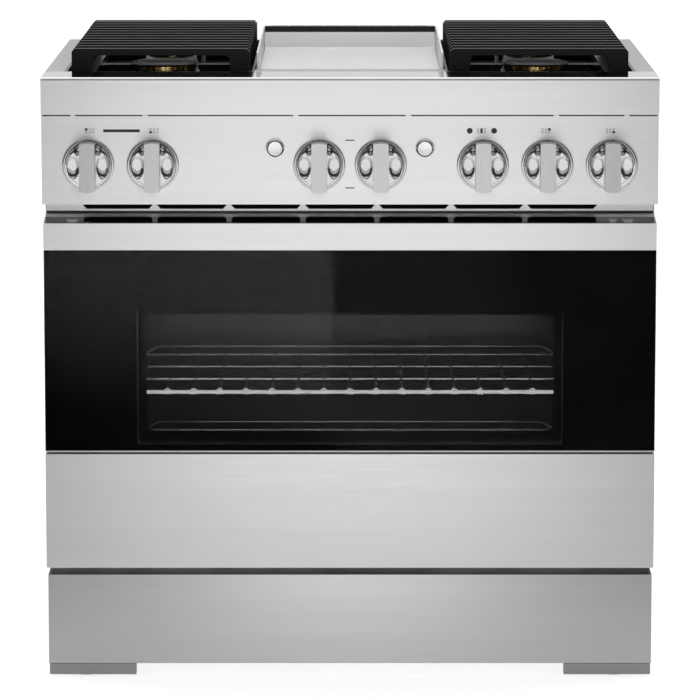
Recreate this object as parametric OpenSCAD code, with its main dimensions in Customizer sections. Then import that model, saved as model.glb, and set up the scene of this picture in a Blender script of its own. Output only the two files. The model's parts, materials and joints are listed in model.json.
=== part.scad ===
// Freestanding gas range: four open burners under two grates, a griddle between them,
// and one gas oven behind a drop-down door. Millimetres, +Z up, and the front faces -Y.
// The origin is on the floor, under the middle of the range's box.
// Inside at_face() the y axis starts at the fascia's front face and runs to the back.

/* [Overall] */
// Width across the side panels
body_w = 911; // [760:1:1094]
// Depth from the fascia's front face to the rear edge of the cooktop
body_d = 711; // [593:1:854]
// Height of the cooktop's deck above the floor
counter_h = 911.6; // [760:0.1:1094]

/* [Front] */
// Height of the fascia under the deck's front edge
fascia_h = 55.1; // [40:0.1:70]
// Depth of the polished ledge behind the fascia
ledge_d = 102; // [85:1:125]
// Height of the control panel
panel_h = 133.8; // [110:0.1:162]
// Distance of the control panel behind the fascia's front face
panel_f = 10; // [6:0.5:14]
// Height of the slotted vent rail under the control panel
rail_h = 18.5; // [14:0.5:24]
// Number of vent slots
slot_count = 7; // [3:1:11]
// Distance from one vent slot to the next
slot_pitch = 110.8; // [90:0.1:120]
// Width of the web between two vent slots
slot_web = 8; // [6:0.5:20]

/* [Kick panel and legs] */
// Distance of the kick panel behind the fascia's front face
kick_f = 58; // [45:1:70]
// Height of the kick panel's lower edge above the floor
kick_bottom = 19; // [12:0.5:25]
// Height of the kick panel
kick_h = 136.7; // [112:0.1:165]
// Width of each front foot cover
foot_cover_w = 131; // [80:1:160]
// Radius of a levelling leg's foot
foot_r = 20; // [14:1:26]
// Radius of a levelling leg's threaded stem
leg_r = 6; // [4:0.5:8]
// Distance from a side panel to a leg
leg_inset = 56; // [40:1:80]

/* [Door] */
// Distance of the door's front behind the fascia's front face
door_f = 29.5; // [24:0.5:36]
// Thickness of the door
door_t = 58.5; // [48:0.5:71]
// Gap between the kick panel and the door
door_gap = 15.8; // [14:0.1:20]
// Gap between the door's top edge and the vent rail
door_top_gap = 2.7; // [2:0.1:6]
// Height of the steel band along the door's top
band_h = 40; // [25:0.5:60]
// Rise of the band's sloping top from front to back
band_rise = 9.5; // [4:0.5:12]
// Height of the steel panel along the door's bottom
lower_h = 173.3; // [140:0.1:208]
// Width of the clear window in the black glass
window_w = 636; // [520:1:680]
// Thickness of the outer glass
glass_t = 6; // [4:0.5:8]
// Radius of the hinge pins
hinge_pin_r = 4; // [3:0.1:5]
// Distance of the hinge pins behind the door's front
pivot_in = 30.5; // [26:0.5:34]
// Height of the hinge pins above the door's lower edge
pivot_up = 29.5; // [25:0.5:34]
// Distance from a side panel to the middle of a hinge
hinge_inset = 48.5; // [40:0.5:70]

/* [Oven] */
// Clear width of the oven
oven_w = 680; // [600:1:700]
// Height of the oven's floor above the floor of the room
oven_floor_z = 275; // [262:1:300]
// Distance from the oven's roof to the door's top edge
roof_drop = 21.4; // [18:0.1:40]
// Space behind the oven for the fan's motor
rear_space = 181; // [150:1:217]
// Thickness of the insulation
insulation_t = 30; // [20:1:34]
// Number of oven racks
rack_count = 3; // [3:1:3]
// Height of the lowest rack above the oven's floor
rack_first = 30; // [25:1:50]
// Distance from the highest rack to the oven's roof
rack_headroom = 131; // [110:1:150]
// Number of wires that run from front to back in a rack
wire_count = 17; // [9:1:23]
// Distance from one of those wires to the next
wire_pitch = 39.3; // [25:0.1:39.3]
// Radius of a rack's frame rods
rod_r = 3.2; // [2.5:0.1:4]
// Radius of a rack's wires
wire_r = 2; // [1.5:0.1:2.6]

/* [Cooktop] */
// Width of the deck beside each well
side_trim = 29.5; // [20:0.5:45]
// Depth of the wells below the deck
well_depth = 36; // [30:1:42]
// Height of the grates' top above the deck
grate_rise = 33.4; // [26:0.1:42]
// Number of narrow bars in a grate
bar_count = 11; // [7:1:13]
// Width of a narrow bar
bar_w = 16; // [10:0.5:20]
// Thickness of a bar
bar_t = 10; // [8:0.5:14]
// Radius of a burner's cap
cap_r = 50; // [38:1:60]
// Radius of a burner's brass ring
ring_r = 37.5; // [30:0.5:42]

/* [Griddle] */
// Width across the griddle's side walls
griddle_w = 281; // [234:1:338]
// Distance of the griddle's front behind the fascia's front face
griddle_f = 139; // [125:1:150]
// Width of the grease trough in front of the plate
trough_w = 51; // [40:1:62]
// Thickness of the griddle plate
plate_t = 12; // [8:0.5:14]
// Height of the griddle's side walls above the deck
wall_rise = 25.4; // [15:0.1:32]

/* [Knobs and buttons] */
// Radius of a knob's round body
knob_r = 34; // [28:0.5:38]
// Distance that a knob's grip stands out in front of the fascia
knob_out = 37; // [30:0.5:42]
// Width of a knob's grip
grip_w = 23; // [16:0.5:28]
// Radius of a knob's stem
stem_r = 4; // [3:0.1:5]
// Height of the knobs above the control panel's lower edge
knob_up = 58.8; // [50:0.1:70]
// Distance from a side panel to the outermost knob
knob_inset = 69.5; // [50:0.5:80]
// Distance from one knob to the next in a group
knob_pitch = 95; // [86:0.5:110]
// Distance between the two oven knobs
oven_knob_pitch = 90.6; // [86:0.1:110]
// Distance between the two push buttons
button_pitch = 221.2; // [210:0.1:250]
// Height of the push buttons above the control panel's lower edge
button_up = 83.7; // [60:0.1:100]
// Radius of a push button
button_r = 11; // [8:0.5:13]
// Distance that a push button travels
button_travel = 3; // [1:0.5:4]

/* [Hidden] */
$fn = 64;

// Sheet thickness and clearances
sheet = 1.5;
gap = 0.3;
running = 0.05;
seal_gap = 0.2;

// Places that follow from the driving sizes
half_w = body_w / 2;
y_face = (knob_out - body_d) / 2;
fascia_z = counter_h - fascia_h;
panel_z = fascia_z - panel_h;
rail_z = panel_z - rail_h;
kick_top = kick_bottom + kick_h;
door_z = kick_top + door_gap;
door_top = rail_z - door_top_gap;
door_back = door_f + door_t;
inner_w = half_w - sheet;
deck_t = 2.5;
deck_z = counter_h - deck_t;

// Door
pivot_f = door_f + pivot_in;
pivot_z = door_z + pivot_up;
tail_back = max(door_t - pivot_in, pivot_in);
tail_r = sqrt(tail_back * tail_back + pivot_up * pivot_up);
chassis_f = pivot_f + tail_r + 1;
hinge_x = half_w - hinge_inset;
knuckle_r = hinge_pin_r + 7;
cheek_t = 4;
cheek_r = hinge_pin_r + 8;
arm_w = 30;
cheek_in = arm_w / 2 + 2;
cheek_out = cheek_in + cheek_t;
notch_r = cheek_r + 2;
lower_top = door_z + lower_h;
glass_z = lower_top + 5.2;
band_z = door_top - band_rise - band_h;
glass_top = band_z - 1;
window_z = glass_z + 8;
window_top = glass_top - 92;
pan_f = door_f + 17;
inner_f = door_back - 2;
gasket_w = 8;
gasket_t = 1.8;
frame_f = door_back + gasket_t + seal_gap;

// Oven
oven_half = oven_w / 2;
roof_z = door_top - roof_drop;
oven_back = body_d - rear_space;
burner_room = 40;
liner_z = oven_floor_z - burner_room;
liner_f = frame_f + 2;
rack_f = frame_f + 15;
rack_back = oven_back - 45;
rack_half = oven_half - 8;
rack_step = (roof_z - rack_headroom - oven_floor_z - rack_first) / (rack_count - 1);
guide_f = rack_f + 5;
guide_back = rack_back + 15;
front_rod_r = rod_r + 0.6;
fan_z = (oven_floor_z + roof_z) / 2;
fan_r = min(72, (roof_z - oven_floor_z) / 2 - 20);
fan_shaft_r = 4;
baffle_f = oven_back - 24;
lamp_x = oven_half - 70;
lamp_z = roof_z - 55;
lamp_r = 24;

// Cooktop
well_in = griddle_w / 2 + 2.5;
well_out = half_w - side_trim;
well_mid = (well_in + well_out) / 2;
well_f = ledge_d + 1;
well_back = body_d - 11;
well_z = deck_z - well_depth;
tray_gap = 0.2;
ledge_z = counter_h - 14;
basin_z = counter_h - 32;
basin_in = well_in + 22;
basin_out = well_out - 37;
basin_f = well_f + 18;
basin_back = well_back - 18;
divider = 22;
split_f = (well_f + well_back) / 2;
burner_back = 8.5;
burner_fs = [(well_f + split_f) / 2 + burner_back, (split_f + well_back) / 2 + burner_back];
grate_z = counter_h + grate_rise;
grate_in = well_in + 7;
grate_out = well_out - 10;
grate_f = well_f + 7;
grate_back = well_back - 14;
rear_bar_w = 50;
ring_z = basin_z + 18;
ring_h = 10;
cap_z = ring_z + ring_h + 1.5;
throat_r = 18;
igniter_off = max(cap_r, ring_r + 12);

// Griddle
wall_t = 3;
griddle_half = griddle_w / 2 - 0.2;
griddle_in = griddle_half - wall_t;
plate_z = counter_h - 6.6;
plate_f = griddle_f + trough_w;
plate_back = body_d - 71;
wall_z = counter_h + wall_rise;
back_wall_z = counter_h + 17;
flue_f = plate_back + 5;
flue_back = body_d - 47;

// Controls. On a narrower range they close up until their rings are 2 mm apart.
knob_z = panel_z + knob_up;
button_z = panel_z + button_up;
bezel_gap = 0.6;
bezel_t = 3.9;
bezel_h = 7;
bezel_r = knob_r + bezel_gap + bezel_t;
button_ring_r = button_r + 3;
closest = 2 * bezel_r + 2;
made_for_w = 911;
spread = min(1, body_w / made_for_w);
outer_knob_x = half_w - knob_inset * spread;
group_pitch = max(closest, knob_pitch * spread);
gas_knob_xs = [
    -outer_knob_x, -(outer_knob_x - group_pitch), outer_knob_x - 2 * group_pitch,
    outer_knob_x - group_pitch, outer_knob_x
];
oven_knob_x = max(closest, oven_knob_pitch * spread) / 2;
button_x = max(oven_knob_x + bezel_r + button_ring_r + 2, button_pitch / 2 * spread);
oven_knob_xs = [-oven_knob_x, oven_knob_x];
knob_xs = concat(gas_knob_xs, oven_knob_xs);
button_xs = [-button_x, button_x];
valve_f = panel_f + 4;
pipe_f = panel_f + 46.5;
pipe_r = 10.5;
riser_r = 8;
riser_x = half_w - 25.5;
riser_f = body_d - 50;
inlet_z = kick_bottom + 91;
inlet_x = half_w - 125;
inlet_r = 10.65;

// Moves children from the fascia's front face to the range's own frame.
module at_face() {
    translate([0, y_face, 0]) children();
}

// Draws children and their mirror image on the other side.
module both() {
    children();
    mirror([1, 0, 0]) children();
}

// A box between two values on each axis.
module block(x, f, z) {
    translate([x[0], f[0], z[0]]) cube([x[1] - x[0], f[1] - f[0], z[1] - z[0]]);
}

// A flat shape drawn in x and z, from one depth to another.
module slab(f) {
    translate([0, f[1], 0]) rotate([90, 0, 0]) linear_extrude(f[1] - f[0]) children();
}

// A flat shape drawn in depth and height, from one x to another.
module profile(x) {
    translate([x[0], 0, 0]) rotate([90, 0, 90]) linear_extrude(x[1] - x[0]) children();
}

// A rectangle between two corners, with round corners when r is above zero.
module rect(x, z, r = 0) {
    if (r > 0) {
        translate([x[0] + r, z[0]]) square([x[1] - x[0] - 2 * r, z[1] - z[0]]);
        translate([x[0], z[0] + r]) square([x[1] - x[0], z[1] - z[0] - 2 * r]);
        for (cx = [x[0] + r, x[1] - r], cz = [z[0] + r, z[1] - r])
            translate([cx, cz]) circle(r);
    } else {
        translate([x[0], z[0]]) square([x[1] - x[0], z[1] - z[0]]);
    }
}

// Round bars along each axis.
module rod_f(x, z, f, r) {
    translate([x, f[1], z]) rotate([90, 0, 0]) cylinder(r = r, h = f[1] - f[0]);
}
module rod_x(x, f, z, r) {
    translate([x[0], f, z]) rotate([0, 90, 0]) cylinder(r = r, h = x[1] - x[0]);
}
module rod_z(x, f, z, r) {
    translate([x, f, z[0]]) cylinder(r = r, h = z[1] - z[0]);
}

// ---- Chassis ----

// Perimeter rails, floor sheet, toe shield and the posts behind the hinges.
module base_frame() {
    rail = 24;
    pan_z = kick_bottom + 41;
    x = inner_w - 0.5;
    f = [kick_f + 6, body_d - 8];
    color("dimgray") at_face() difference() {
        union() {
            block([-x, x], f, [pan_z, pan_z + 2]);
            block([-x, x], [f[0], f[0] + rail], [kick_bottom + 11, pan_z]);
            block([-x, x], [f[1] - rail, f[1]], [kick_bottom + 11, pan_z]);
            both() block([x - rail, x], f, [kick_bottom + 11, pan_z]);
            both() for (lf = leg_fs())
                block([leg_x() - rail, leg_x() + rail], [lf - rail, lf + rail], [pan_z - 10, pan_z]);
            block([-x, x], [chassis_f + 2, chassis_f + 2 + sheet], [pan_z, liner_z - 3]);
            both() block(
                [hinge_x - cheek_out, hinge_x + cheek_out],
                [chassis_f + 2 + sheet, chassis_f + 22],
                [pan_z, pivot_z - 2]
            );
        }
        both() for (lf = leg_fs())
            rod_z(leg_x(), lf, [kick_bottom, pan_z + 3], leg_r + 0.1);
    }
}

function leg_x() = half_w - leg_inset;
function leg_fs() = [kick_f + 26, body_d - 50];

// Feet with a threaded stem each.
module levelling_legs() {
    color("gray") at_face() both() for (lf = leg_fs()) {
        translate([leg_x(), lf, 0]) rotate_extrude() polygon([
            [0, 0], [foot_r, 0], [foot_r, 5], [foot_r - 6, 10], [leg_r, 12],
            [leg_r, kick_bottom + 52], [0, kick_bottom + 52]
        ]);
    }
}

// Outer sides, cut back at the front for the door's swing, with a folded rear edge.
module side_panels() {
    top = deck_z - 0.1;
    back = body_d - 4;
    color("silver") at_face() both() {
        profile([inner_w, half_w]) polygon([
            [panel_f + 2, panel_z], [panel_f + 2, top], [back, top], [back, kick_bottom],
            [kick_f + 4, kick_bottom], [kick_f + 4, kick_top - 0.5], [chassis_f + 1, kick_top - 0.5],
            [chassis_f + 1, liner_z - 1], [frame_f, liner_z - 1], [frame_f, panel_z]
        ]);
        block([inner_w - 18, inner_w], [back - sheet, back], [inlet_z + 50, top - 2]);
    }
}

// Rear cover with louvres, open at the bottom where the gas comes in.
module rear_panel() {
    z = [inlet_z + 50, deck_z - 0.1];
    louvre_w = 90;
    color("silver") at_face() slab([body_d - 4, body_d - 2]) difference() {
        rect([-half_w, half_w], z);
        for (row = [0:4], col = [-3:3])
            translate([col * louvre_w * 1.25, z[1] - 60 - row * 18])
                rect([-louvre_w / 2, louvre_w / 2], [-3, 3], 2.9);
        for (row = [0:3], col = [-1:1])
            translate([col * louvre_w * 1.25, z[0] + 50 + row * 18])
                rect([-louvre_w / 2, louvre_w / 2], [-3, 3], 2.9);
    }
}

// Face frame around the mouth of the oven.
module front_frame() {
    color("dimgray") at_face() {
        slab([frame_f, liner_f]) difference() {
            rect([-inner_w + 0.3, inner_w - 0.3], [liner_z - 1, rail_z - 0.5]);
            rect([-oven_half, oven_half], [oven_floor_z, roof_z], 6);
        }
        both() block([inner_w - 1.8, inner_w - 0.3], [liner_f, liner_f + 30], [liner_z + 20, rail_z - 20]);
    }
}

module kick_panel() {
    x = half_w - 0.5;
    color("silver") at_face() {
        block([-x, x], [kick_f, kick_f + sheet], [kick_bottom, kick_top]);
        block([-x + 2, x - 2], [kick_f + sheet, kick_f + 5], [kick_top - sheet, kick_top]);
        block([-x + 2, x - 2], [kick_f + sheet, kick_f + 5], [kick_bottom, kick_bottom + sheet]);
    }
}

// Plates that hang under the kick panel in front of the legs.
module leg_covers() {
    x = [half_w - 1.5 - foot_cover_w, half_w - 1.5];
    z = [2, kick_bottom - 0.2];
    color("silver") at_face() both() {
        block(x, [kick_f, kick_f + sheet], z);
        block(x, [kick_f + sheet, kick_f + 16], [z[1] - sheet, z[1]]);
        block([x[0], x[0] + sheet], [kick_f + sheet, kick_f + 16], z);
    }
}

// Clevis brackets with the door's hinge pins.
module hinge_brackets() {
    color("gray") at_face() both() {
        block([hinge_x - cheek_out, hinge_x + cheek_out], [chassis_f, chassis_f + 1.9], [kick_top + 1,
            liner_z - 4]);
        for (x = [hinge_x - cheek_out, hinge_x + cheek_in])
            profile([x, x + cheek_t]) {
                translate([pivot_f, pivot_z]) circle(cheek_r);
                translate([pivot_f, pivot_z - cheek_r]) square([chassis_f - pivot_f, 2 * cheek_r]);
            }
        rod_x([hinge_x - cheek_in - 1, hinge_x + cheek_in + 1], pivot_f, pivot_z, hinge_pin_r);
    }
}

// ---- Front ----

// Fascia and the polished ledge folded from one sheet, with closed ends.
module front_fascia() {
    r = 5;
    t = 2;
    z = [fascia_z, counter_h];
    color("silver") at_face() {
        profile([-half_w, half_w]) {
            difference() {
                union() {
                    square_at([0, t], [z[0], z[1] - r]);
                    square_at([r, ledge_d], [z[1] - t, z[1]]);
                    intersection() {
                        translate([r, z[1] - r]) circle(r);
                        square_at([0, r], [z[1] - r, z[1]]);
                    }
                }
                intersection() {
                    translate([r, z[1] - r]) circle(r - t);
                    square_at([t, r], [z[1] - r, z[1] - t]);
                }
            }
            square_at([t, panel_f + 1.9], [z[0], z[0] + sheet]);
        }
        block([-inner_w, inner_w], [ledge_d - t, ledge_d], [z[1] - 22, z[1] - t]);
        both() block([inner_w, half_w], [t, panel_f + 1.9], [z[0] + sheet, z[1] - r]);
    }
}

module square_at(u, v) {
    translate([u[0], v[0]]) square([u[1] - u[0], v[1] - v[0]]);
}

module control_panel() {
    t = sheet;
    z = [panel_z, fascia_z];
    x = inner_w - 0.5;
    color("silver") at_face() difference() {
        union() {
            block([-half_w, half_w], [panel_f, panel_f + t], z);
            block([-x, x], [panel_f + t, panel_f + 20], [z[1] - t, z[1] - 0.1]);
            block([-x, x], [panel_f + t, door_back - 0.5], [z[0], z[0] + t]);
        }
        for (x = knob_xs)
            rod_f(x, knob_z, [panel_f - 1, panel_f + 3], stem_r + 4);
        for (x = button_xs)
            rod_f(x, button_z, [panel_f - 1, panel_f + 3], button_r + 0.5);
    }
}

// Rail with slots that let the oven's cooling air out over the door.
module vent_rail() {
    f = door_back;
    pitch = slot_pitch * spread;
    slot_w = pitch - slot_web;
    corner = 5;
    first = -(slot_count - 1) * pitch / 2 - 15;
    slot_z = [rail_z + 3, rail_z + rail_h - 3];
    color("silver") at_face() slab([f - 0.5, f + 1.4]) difference() {
        rect([-inner_w + 0.3, inner_w - 0.3], [rail_z, panel_z - 0.1]);
        for (i = [0:slot_count - 1])
            translate([first + i * pitch, 0]) polygon([
                [-slot_w / 2, slot_z[1]], [slot_w / 2, slot_z[1]],
                [slot_w / 2, slot_z[0] + corner], [slot_w / 2 - corner, slot_z[0]],
                [-slot_w / 2 + corner, slot_z[0]], [-slot_w / 2, slot_z[0] + corner]
            ]);
    }
}

// Chrome rings around the knobs and the push buttons.
module control_bezels() {
    color("gainsboro") at_face() {
        for (x = knob_xs) difference() {
            rod_f(x, knob_z, [panel_f - bezel_h, panel_f - 0.1], bezel_r);
            rod_f(x, knob_z, [panel_f - bezel_h - 1, panel_f - sheet], knob_r + bezel_gap);
            rod_f(x, knob_z, [panel_f - 3, panel_f + 1], stem_r + 2);
        }
        for (x = button_xs) difference() {
            rod_f(x, button_z, [panel_f - 5, panel_f - 0.1], button_ring_r);
            rod_f(x, button_z, [panel_f - 6, panel_f + 1], button_r + bezel_gap);
        }
    }
}

// Round body with a finger scoop on each side of an upright grip, and its stem.
module knob(x) {
    base_f = panel_f - sheet - 0.5;
    body_f = -14;
    grip_r = knob_r + 2.5;
    scoop_r = 26;
    color("gainsboro") at_face() translate([x, 0, knob_z]) {
        difference() {
            translate([0, base_f, 0]) rotate([90, 0, 0])
                cylinder(r1 = knob_r, r2 = knob_r - 2, h = base_f - body_f);
            both() rod_z(grip_w / 2 + scoop_r, body_f - 6, [-knob_r - 1, knob_r + 1], scoop_r);
        }
        intersection() {
            block([-grip_w / 2, grip_w / 2], [-knob_out, -4], [-grip_r, grip_r]);
            rod_f(0, 0, [-knob_out, -4], grip_r);
        }
        rod_f(0, 0, [base_f - 1, valve_f + 26], stem_r);
    }
}

// Spun cap with a plunger that goes into its switch.
module button(x) {
    cap_f = panel_f - 6;
    back_f = panel_f - 0.6;
    color("gainsboro") at_face() {
        rod_f(x, button_z, [cap_f, back_f], button_r);
        rod_f(x, button_z, [back_f - 1, valve_f + 10], stem_r - 1);
    }
}

// ---- Gas and controls behind the panel ----

// Manifold pipe with the riser that feeds it from the regulator.
module gas_manifold() {
    end_x = outer_knob_x + 15;
    color("khaki") at_face() {
        rod_x([-end_x, riser_x], pipe_f, knob_z, pipe_r);
        rod_f(riser_x, knob_z, [pipe_f, riser_f], riser_r);
        rod_z(riser_x, riser_f, [inlet_z, knob_z], riser_r);
        rod_x([inlet_x + 24, riser_x], riser_f, inlet_z, riser_r);
        translate([riser_x, pipe_f, knob_z]) sphere(pipe_r);
        translate([riser_x, riser_f, knob_z]) sphere(riser_r);
        translate([riser_x, riser_f, inlet_z]) sphere(riser_r);
    }
}

// One valve behind each gas knob, clamped to the manifold.
module gas_valves() {
    s = 15;
    color("goldenrod") at_face() for (x = gas_knob_xs) difference() {
        union() {
            block([x - s, x + s], [valve_f, pipe_f], [knob_z - s, knob_z + s]);
            rod_z(x, valve_f + 18, [knob_z + s, knob_z + s + 14], 6);
        }
        rod_x([x - s - 1, x + s + 1], pipe_f, knob_z, pipe_r);
        rod_f(x, knob_z, [valve_f - 1, valve_f + 28], stem_r + running);
    }
}

// Mode switch, thermostat and the two push switches.
module oven_switches() {
    s = 24;
    b = 13;
    color("whitesmoke") at_face() {
        for (x = oven_knob_xs) difference() {
            block([x - s, x + s], [valve_f, valve_f + 31], [knob_z - s, knob_z + s]);
            rod_f(x, knob_z, [valve_f - 1, valve_f + 28], stem_r + running);
        }
        for (x = button_xs) difference() {
            block([x - b, x + b], [valve_f, valve_f + 26], [button_z - b, button_z + b]);
            rod_f(x, button_z, [valve_f - 1, valve_f + 14 + button_travel], stem_r - 1 + running);
        }
    }
}

// Pressure regulator with its threaded inlet, on a bracket.
module gas_regulator() {
    f = [riser_f - 24, riser_f + 24];
    pan_z = kick_bottom + 43;
    color("lightsteelblue") at_face() {
        block([inlet_x - 24, inlet_x + 24], f, [inlet_z - 20, inlet_z + 20]);
        rod_z(inlet_x, riser_f, [inlet_z + 20, inlet_z + 34], 22);
        rod_f(inlet_x, inlet_z, [f[1], body_d - 4], inlet_r);
        block([inlet_x - 15, inlet_x + 15], f, [pan_z, inlet_z - 20]);
    }
}

// ---- Oven ----

// Enamelled box of the oven, open at the front, with ledges for its floor.
module oven_liner() {
    t = sheet;
    color("darkslategray") at_face() {
        difference() {
            block([-oven_half - t, oven_half + t], [liner_f, oven_back + t], [liner_z - t, roof_z + t]);
            block([-oven_half, oven_half], [liner_f - 1, oven_back], [liner_z, roof_z]);
            rod_f(0, fan_z, [oven_back - 1, oven_back + 3], fan_shaft_r + 6);
            both() rod_f(lamp_x, lamp_z, [oven_back - 1, oven_back + 3], lamp_r - 4);
        }
        both() block(
            [oven_half - 12, oven_half], [liner_f + 2, oven_back],
            [oven_floor_z - 2 - t, oven_floor_z - 2]
        );
    }
}

// Lift-out floor with slots above the bake burner.
module oven_floor() {
    x = oven_half - 0.5;
    vents = 8;
    vent_w = 8;
    vent_pitch = 40;
    first = liner_f + 56;
    color("darkslategray") at_face() difference() {
        block([-x, x], [liner_f + 2, oven_back - 1], [oven_floor_z - 2, oven_floor_z]);
        both() for (i = [0:vents - 1])
            block(
                [oven_half - 60, oven_half - 20],
                [first + i * vent_pitch, first + i * vent_pitch + vent_w],
                [oven_floor_z - 3, oven_floor_z + 1]
            );
    }
}

// Mineral wool around the liner.
module oven_insulation() {
    t = insulation_t;
    o = oven_half + sheet + 0.5;
    z = [liner_z - sheet - 0.5, roof_z + sheet + 0.5];
    f = [chassis_f + 5, oven_back + sheet + 0.5];
    color("beige") at_face() difference() {
        block([-o - t, o + t], [f[0], f[1] + t], [z[0] - t, z[1] + t]);
        block([-o, o], [f[0] - 1, f[1]], z);
        rod_f(0, fan_z, [f[1] - 1, f[1] + t + 1], 46);
        both() rod_f(lamp_x, lamp_z, [f[1] - 1, f[1] + t + 1], lamp_r);
    }
}

function rack_z(i) = oven_floor_z + rack_first + i * rack_step;

// Pressed side ladders that carry the racks and stop them tipping.
module rack_guides() {
    t = 2;
    x = [oven_half - 16, oven_half];
    color("gray") at_face() both() {
        for (i = [0:rack_count - 1]) {
            block(x, [guide_f, guide_back], [rack_z(i) - rod_r - 0.2 - t, rack_z(i) - rod_r - 0.2]);
            block([x[0] + 2, x[1]], [guide_f, guide_back], [rack_z(i) + 9, rack_z(i) + 9 + t]);
        }
        for (f = [guide_f + 40, guide_back - 60])
            block([x[1] - t, x[1]], [f, f + 20], [rack_z(0) - 12, rack_z(rack_count - 1) + 25]);
    }
}

// Looped tube burner under the oven's floor.
module bake_burner() {
    r = 11;
    x = 150;
    z = liner_z + 18;
    f = [liner_f + 50, oven_back - 50];
    color("gray") at_face() {
        both() rod_f(x, z, f, r);
        for (cf = f)
            rod_x([-x, x], cf, z, r);
        both() for (cf = f)
            translate([x, cf, z]) sphere(r);
        both() for (cf = [f[0] + 40, f[1] - 40])
            block([x - 5, x + 5], [cf, cf + 10], [liner_z, z]);
    }
}

// Infrared broil burner under the oven's roof.
module broil_burner() {
    color("gray") at_face() difference() {
        block([-120, 120], [liner_f + 70, oven_back - 60], [roof_z - 26, roof_z]);
        block([-108, 108], [liner_f + 82, oven_back - 72], [roof_z - 27, roof_z - 8]);
    }
}

// Cover over the convection fan, with intake holes and stand-offs.
module fan_baffle() {
    s = fan_r + 55;
    hole_r = 5;
    color("darkslategray") at_face() {
        slab([baffle_f, baffle_f + 2]) difference() {
            rect([-s, s], [fan_z - fan_r - 20, fan_z + fan_r + 20], 16);
            for (ring = [0:3], i = [0:max(0, ring * 6 - 1)])
                rotate_about(0, fan_z, i * 60 / max(ring, 1))
                    translate([ring * 15, 0]) circle(hole_r);
        }
        both() for (z = [fan_z - fan_r, fan_z + fan_r])
            rod_f(s - 14, z, [baffle_f + 2, oven_back], 4);
    }
}

module rotate_about(x, z, a) {
    translate([x, z]) rotate(a) children();
}

module fan_motor() {
    color("gray") at_face() difference() {
        union() {
            rod_f(0, fan_z, [oven_back + sheet, oven_back + sheet + 2.5], 42);
            rod_f(0, fan_z, [oven_back + sheet + 2.5, body_d - 60], 35);
        }
        rod_f(0, fan_z, [oven_back, oven_back + 50], fan_shaft_r + running);
    }
}

// Hub with radial blades on the motor's shaft.
module convection_fan() {
    blades = 14;
    f = [baffle_f + 6, oven_back - 5];
    color("silver") at_face() {
        rod_f(0, fan_z, [f[0] - 1, oven_back + 46], fan_shaft_r);
        rod_f(0, fan_z, f, 16);
        rod_f(0, fan_z, [f[1] - 1.5, f[1]], fan_r - 4);
        for (i = [0:blades - 1])
            translate([0, 0, fan_z]) rotate([0, i * 360 / blades, 0])
                block([30, fan_r], f, [-0.8, 0.8]);
    }
}

// Glass lenses on the rear wall, with sockets behind.
module oven_lamps() {
    color("lightyellow") at_face() both() {
        rod_f(lamp_x, lamp_z, [oven_back - 7, oven_back], lamp_r);
        rod_f(lamp_x, lamp_z, [oven_back - 0.5, oven_back + 36], lamp_r - 5);
    }
}

// Wire rack: thick rods around, thin wires from front to back, and a raised stop behind.
module rack(i) {
    z = rack_z(i);
    side = rack_half - rod_r;
    cross_r = rod_r - 0.3;
    lift = rod_r + wire_r - 0.8;
    span = rack_back - rack_f;
    stop_z = z + 13;
    stop_x = side - 26;
    color("lightgray") at_face() {
        both() rod_f(side, z, [rack_f - rod_r, rack_back + rod_r], rod_r);
        rod_x([-side, side], rack_f, z, front_rod_r);
        for (f = [rack_f + span / 3, rack_f + span * 2 / 3, rack_back])
            rod_x([-side, side], f, z, cross_r);
        for (k = [0:wire_count - 1]) {
            x = (k - (wire_count - 1) / 2) * wire_pitch;
            rod_f(x, z + lift, [rack_f - 1, rack_back + 3], wire_r);
        }
        slab([rack_back + 1, rack_back + 5]) both() polygon([
            [side + 1, z - 1], [stop_x + 1, stop_z + wire_r], [0, stop_z + wire_r],
            [0, stop_z - wire_r], [stop_x - 1, stop_z - wire_r], [side - 3, z - 1]
        ]);
    }
}

// ---- Cooktop ----

// Deck with one opening for wells and griddle, and the rails under it that carry them.
module cooktop_frame() {
    rail_t = 2;
    z = [well_z - rail_t - 0.2, well_z - 0.2];
    x = inner_w - 0.5;
    color("silver") at_face() {
        slab_z([deck_z, counter_h]) difference() {
            rect([-half_w, half_w], [ledge_d + 0.1, body_d]);
            both() rect([well_in, well_out], [well_f, well_back]);
            rect([-well_in - 0.5, well_in + 0.5], [griddle_f - 1, flue_back + 1]);
        }
        both() block([x - sheet, x], [ledge_d + 0.1, body_d - 8], [z[0], deck_z]);
        both() block([well_out - 20, x], [ledge_d + 0.1, body_d - 8], z);
        for (f = [[ledge_d + 0.1, ledge_d + 34], [body_d - 34, body_d - 8]])
            block([-x, x], f, z);
    }
}

// A flat shape drawn in x and depth, from one height to another.
module slab_z(z) {
    translate([0, 0, z[0]]) linear_extrude(z[1] - z[0]) children();
}

// Enamelled wells with a basin under each burner.
module burner_trays() {
    x = [well_in + tray_gap, well_out - tray_gap];
    f = [well_f + tray_gap, well_back - tray_gap];
    w = 3;
    color("black") at_face() both() difference() {
        slab_z([well_z, counter_h - 0.4]) rect(x, f, 8);
        slab_z([ledge_z, counter_h]) rect([x[0] + w, x[1] - w], [f[0] + w, f[1] - w], 10);
        slab_z([basin_z, counter_h]) rect([basin_in, basin_out], [basin_f, split_f - divider / 2], 26);
        slab_z([basin_z, counter_h]) rect([basin_in, basin_out], [split_f + divider / 2, basin_back], 26);
        for (bf = burner_fs) {
            rod_z(well_mid, bf, [well_z - 1, basin_z + 1], throat_r + 2);
            rod_z(well_mid - igniter_off - 1, bf, [well_z - 1, basin_z + 1], 4);
        }
    }
}

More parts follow.
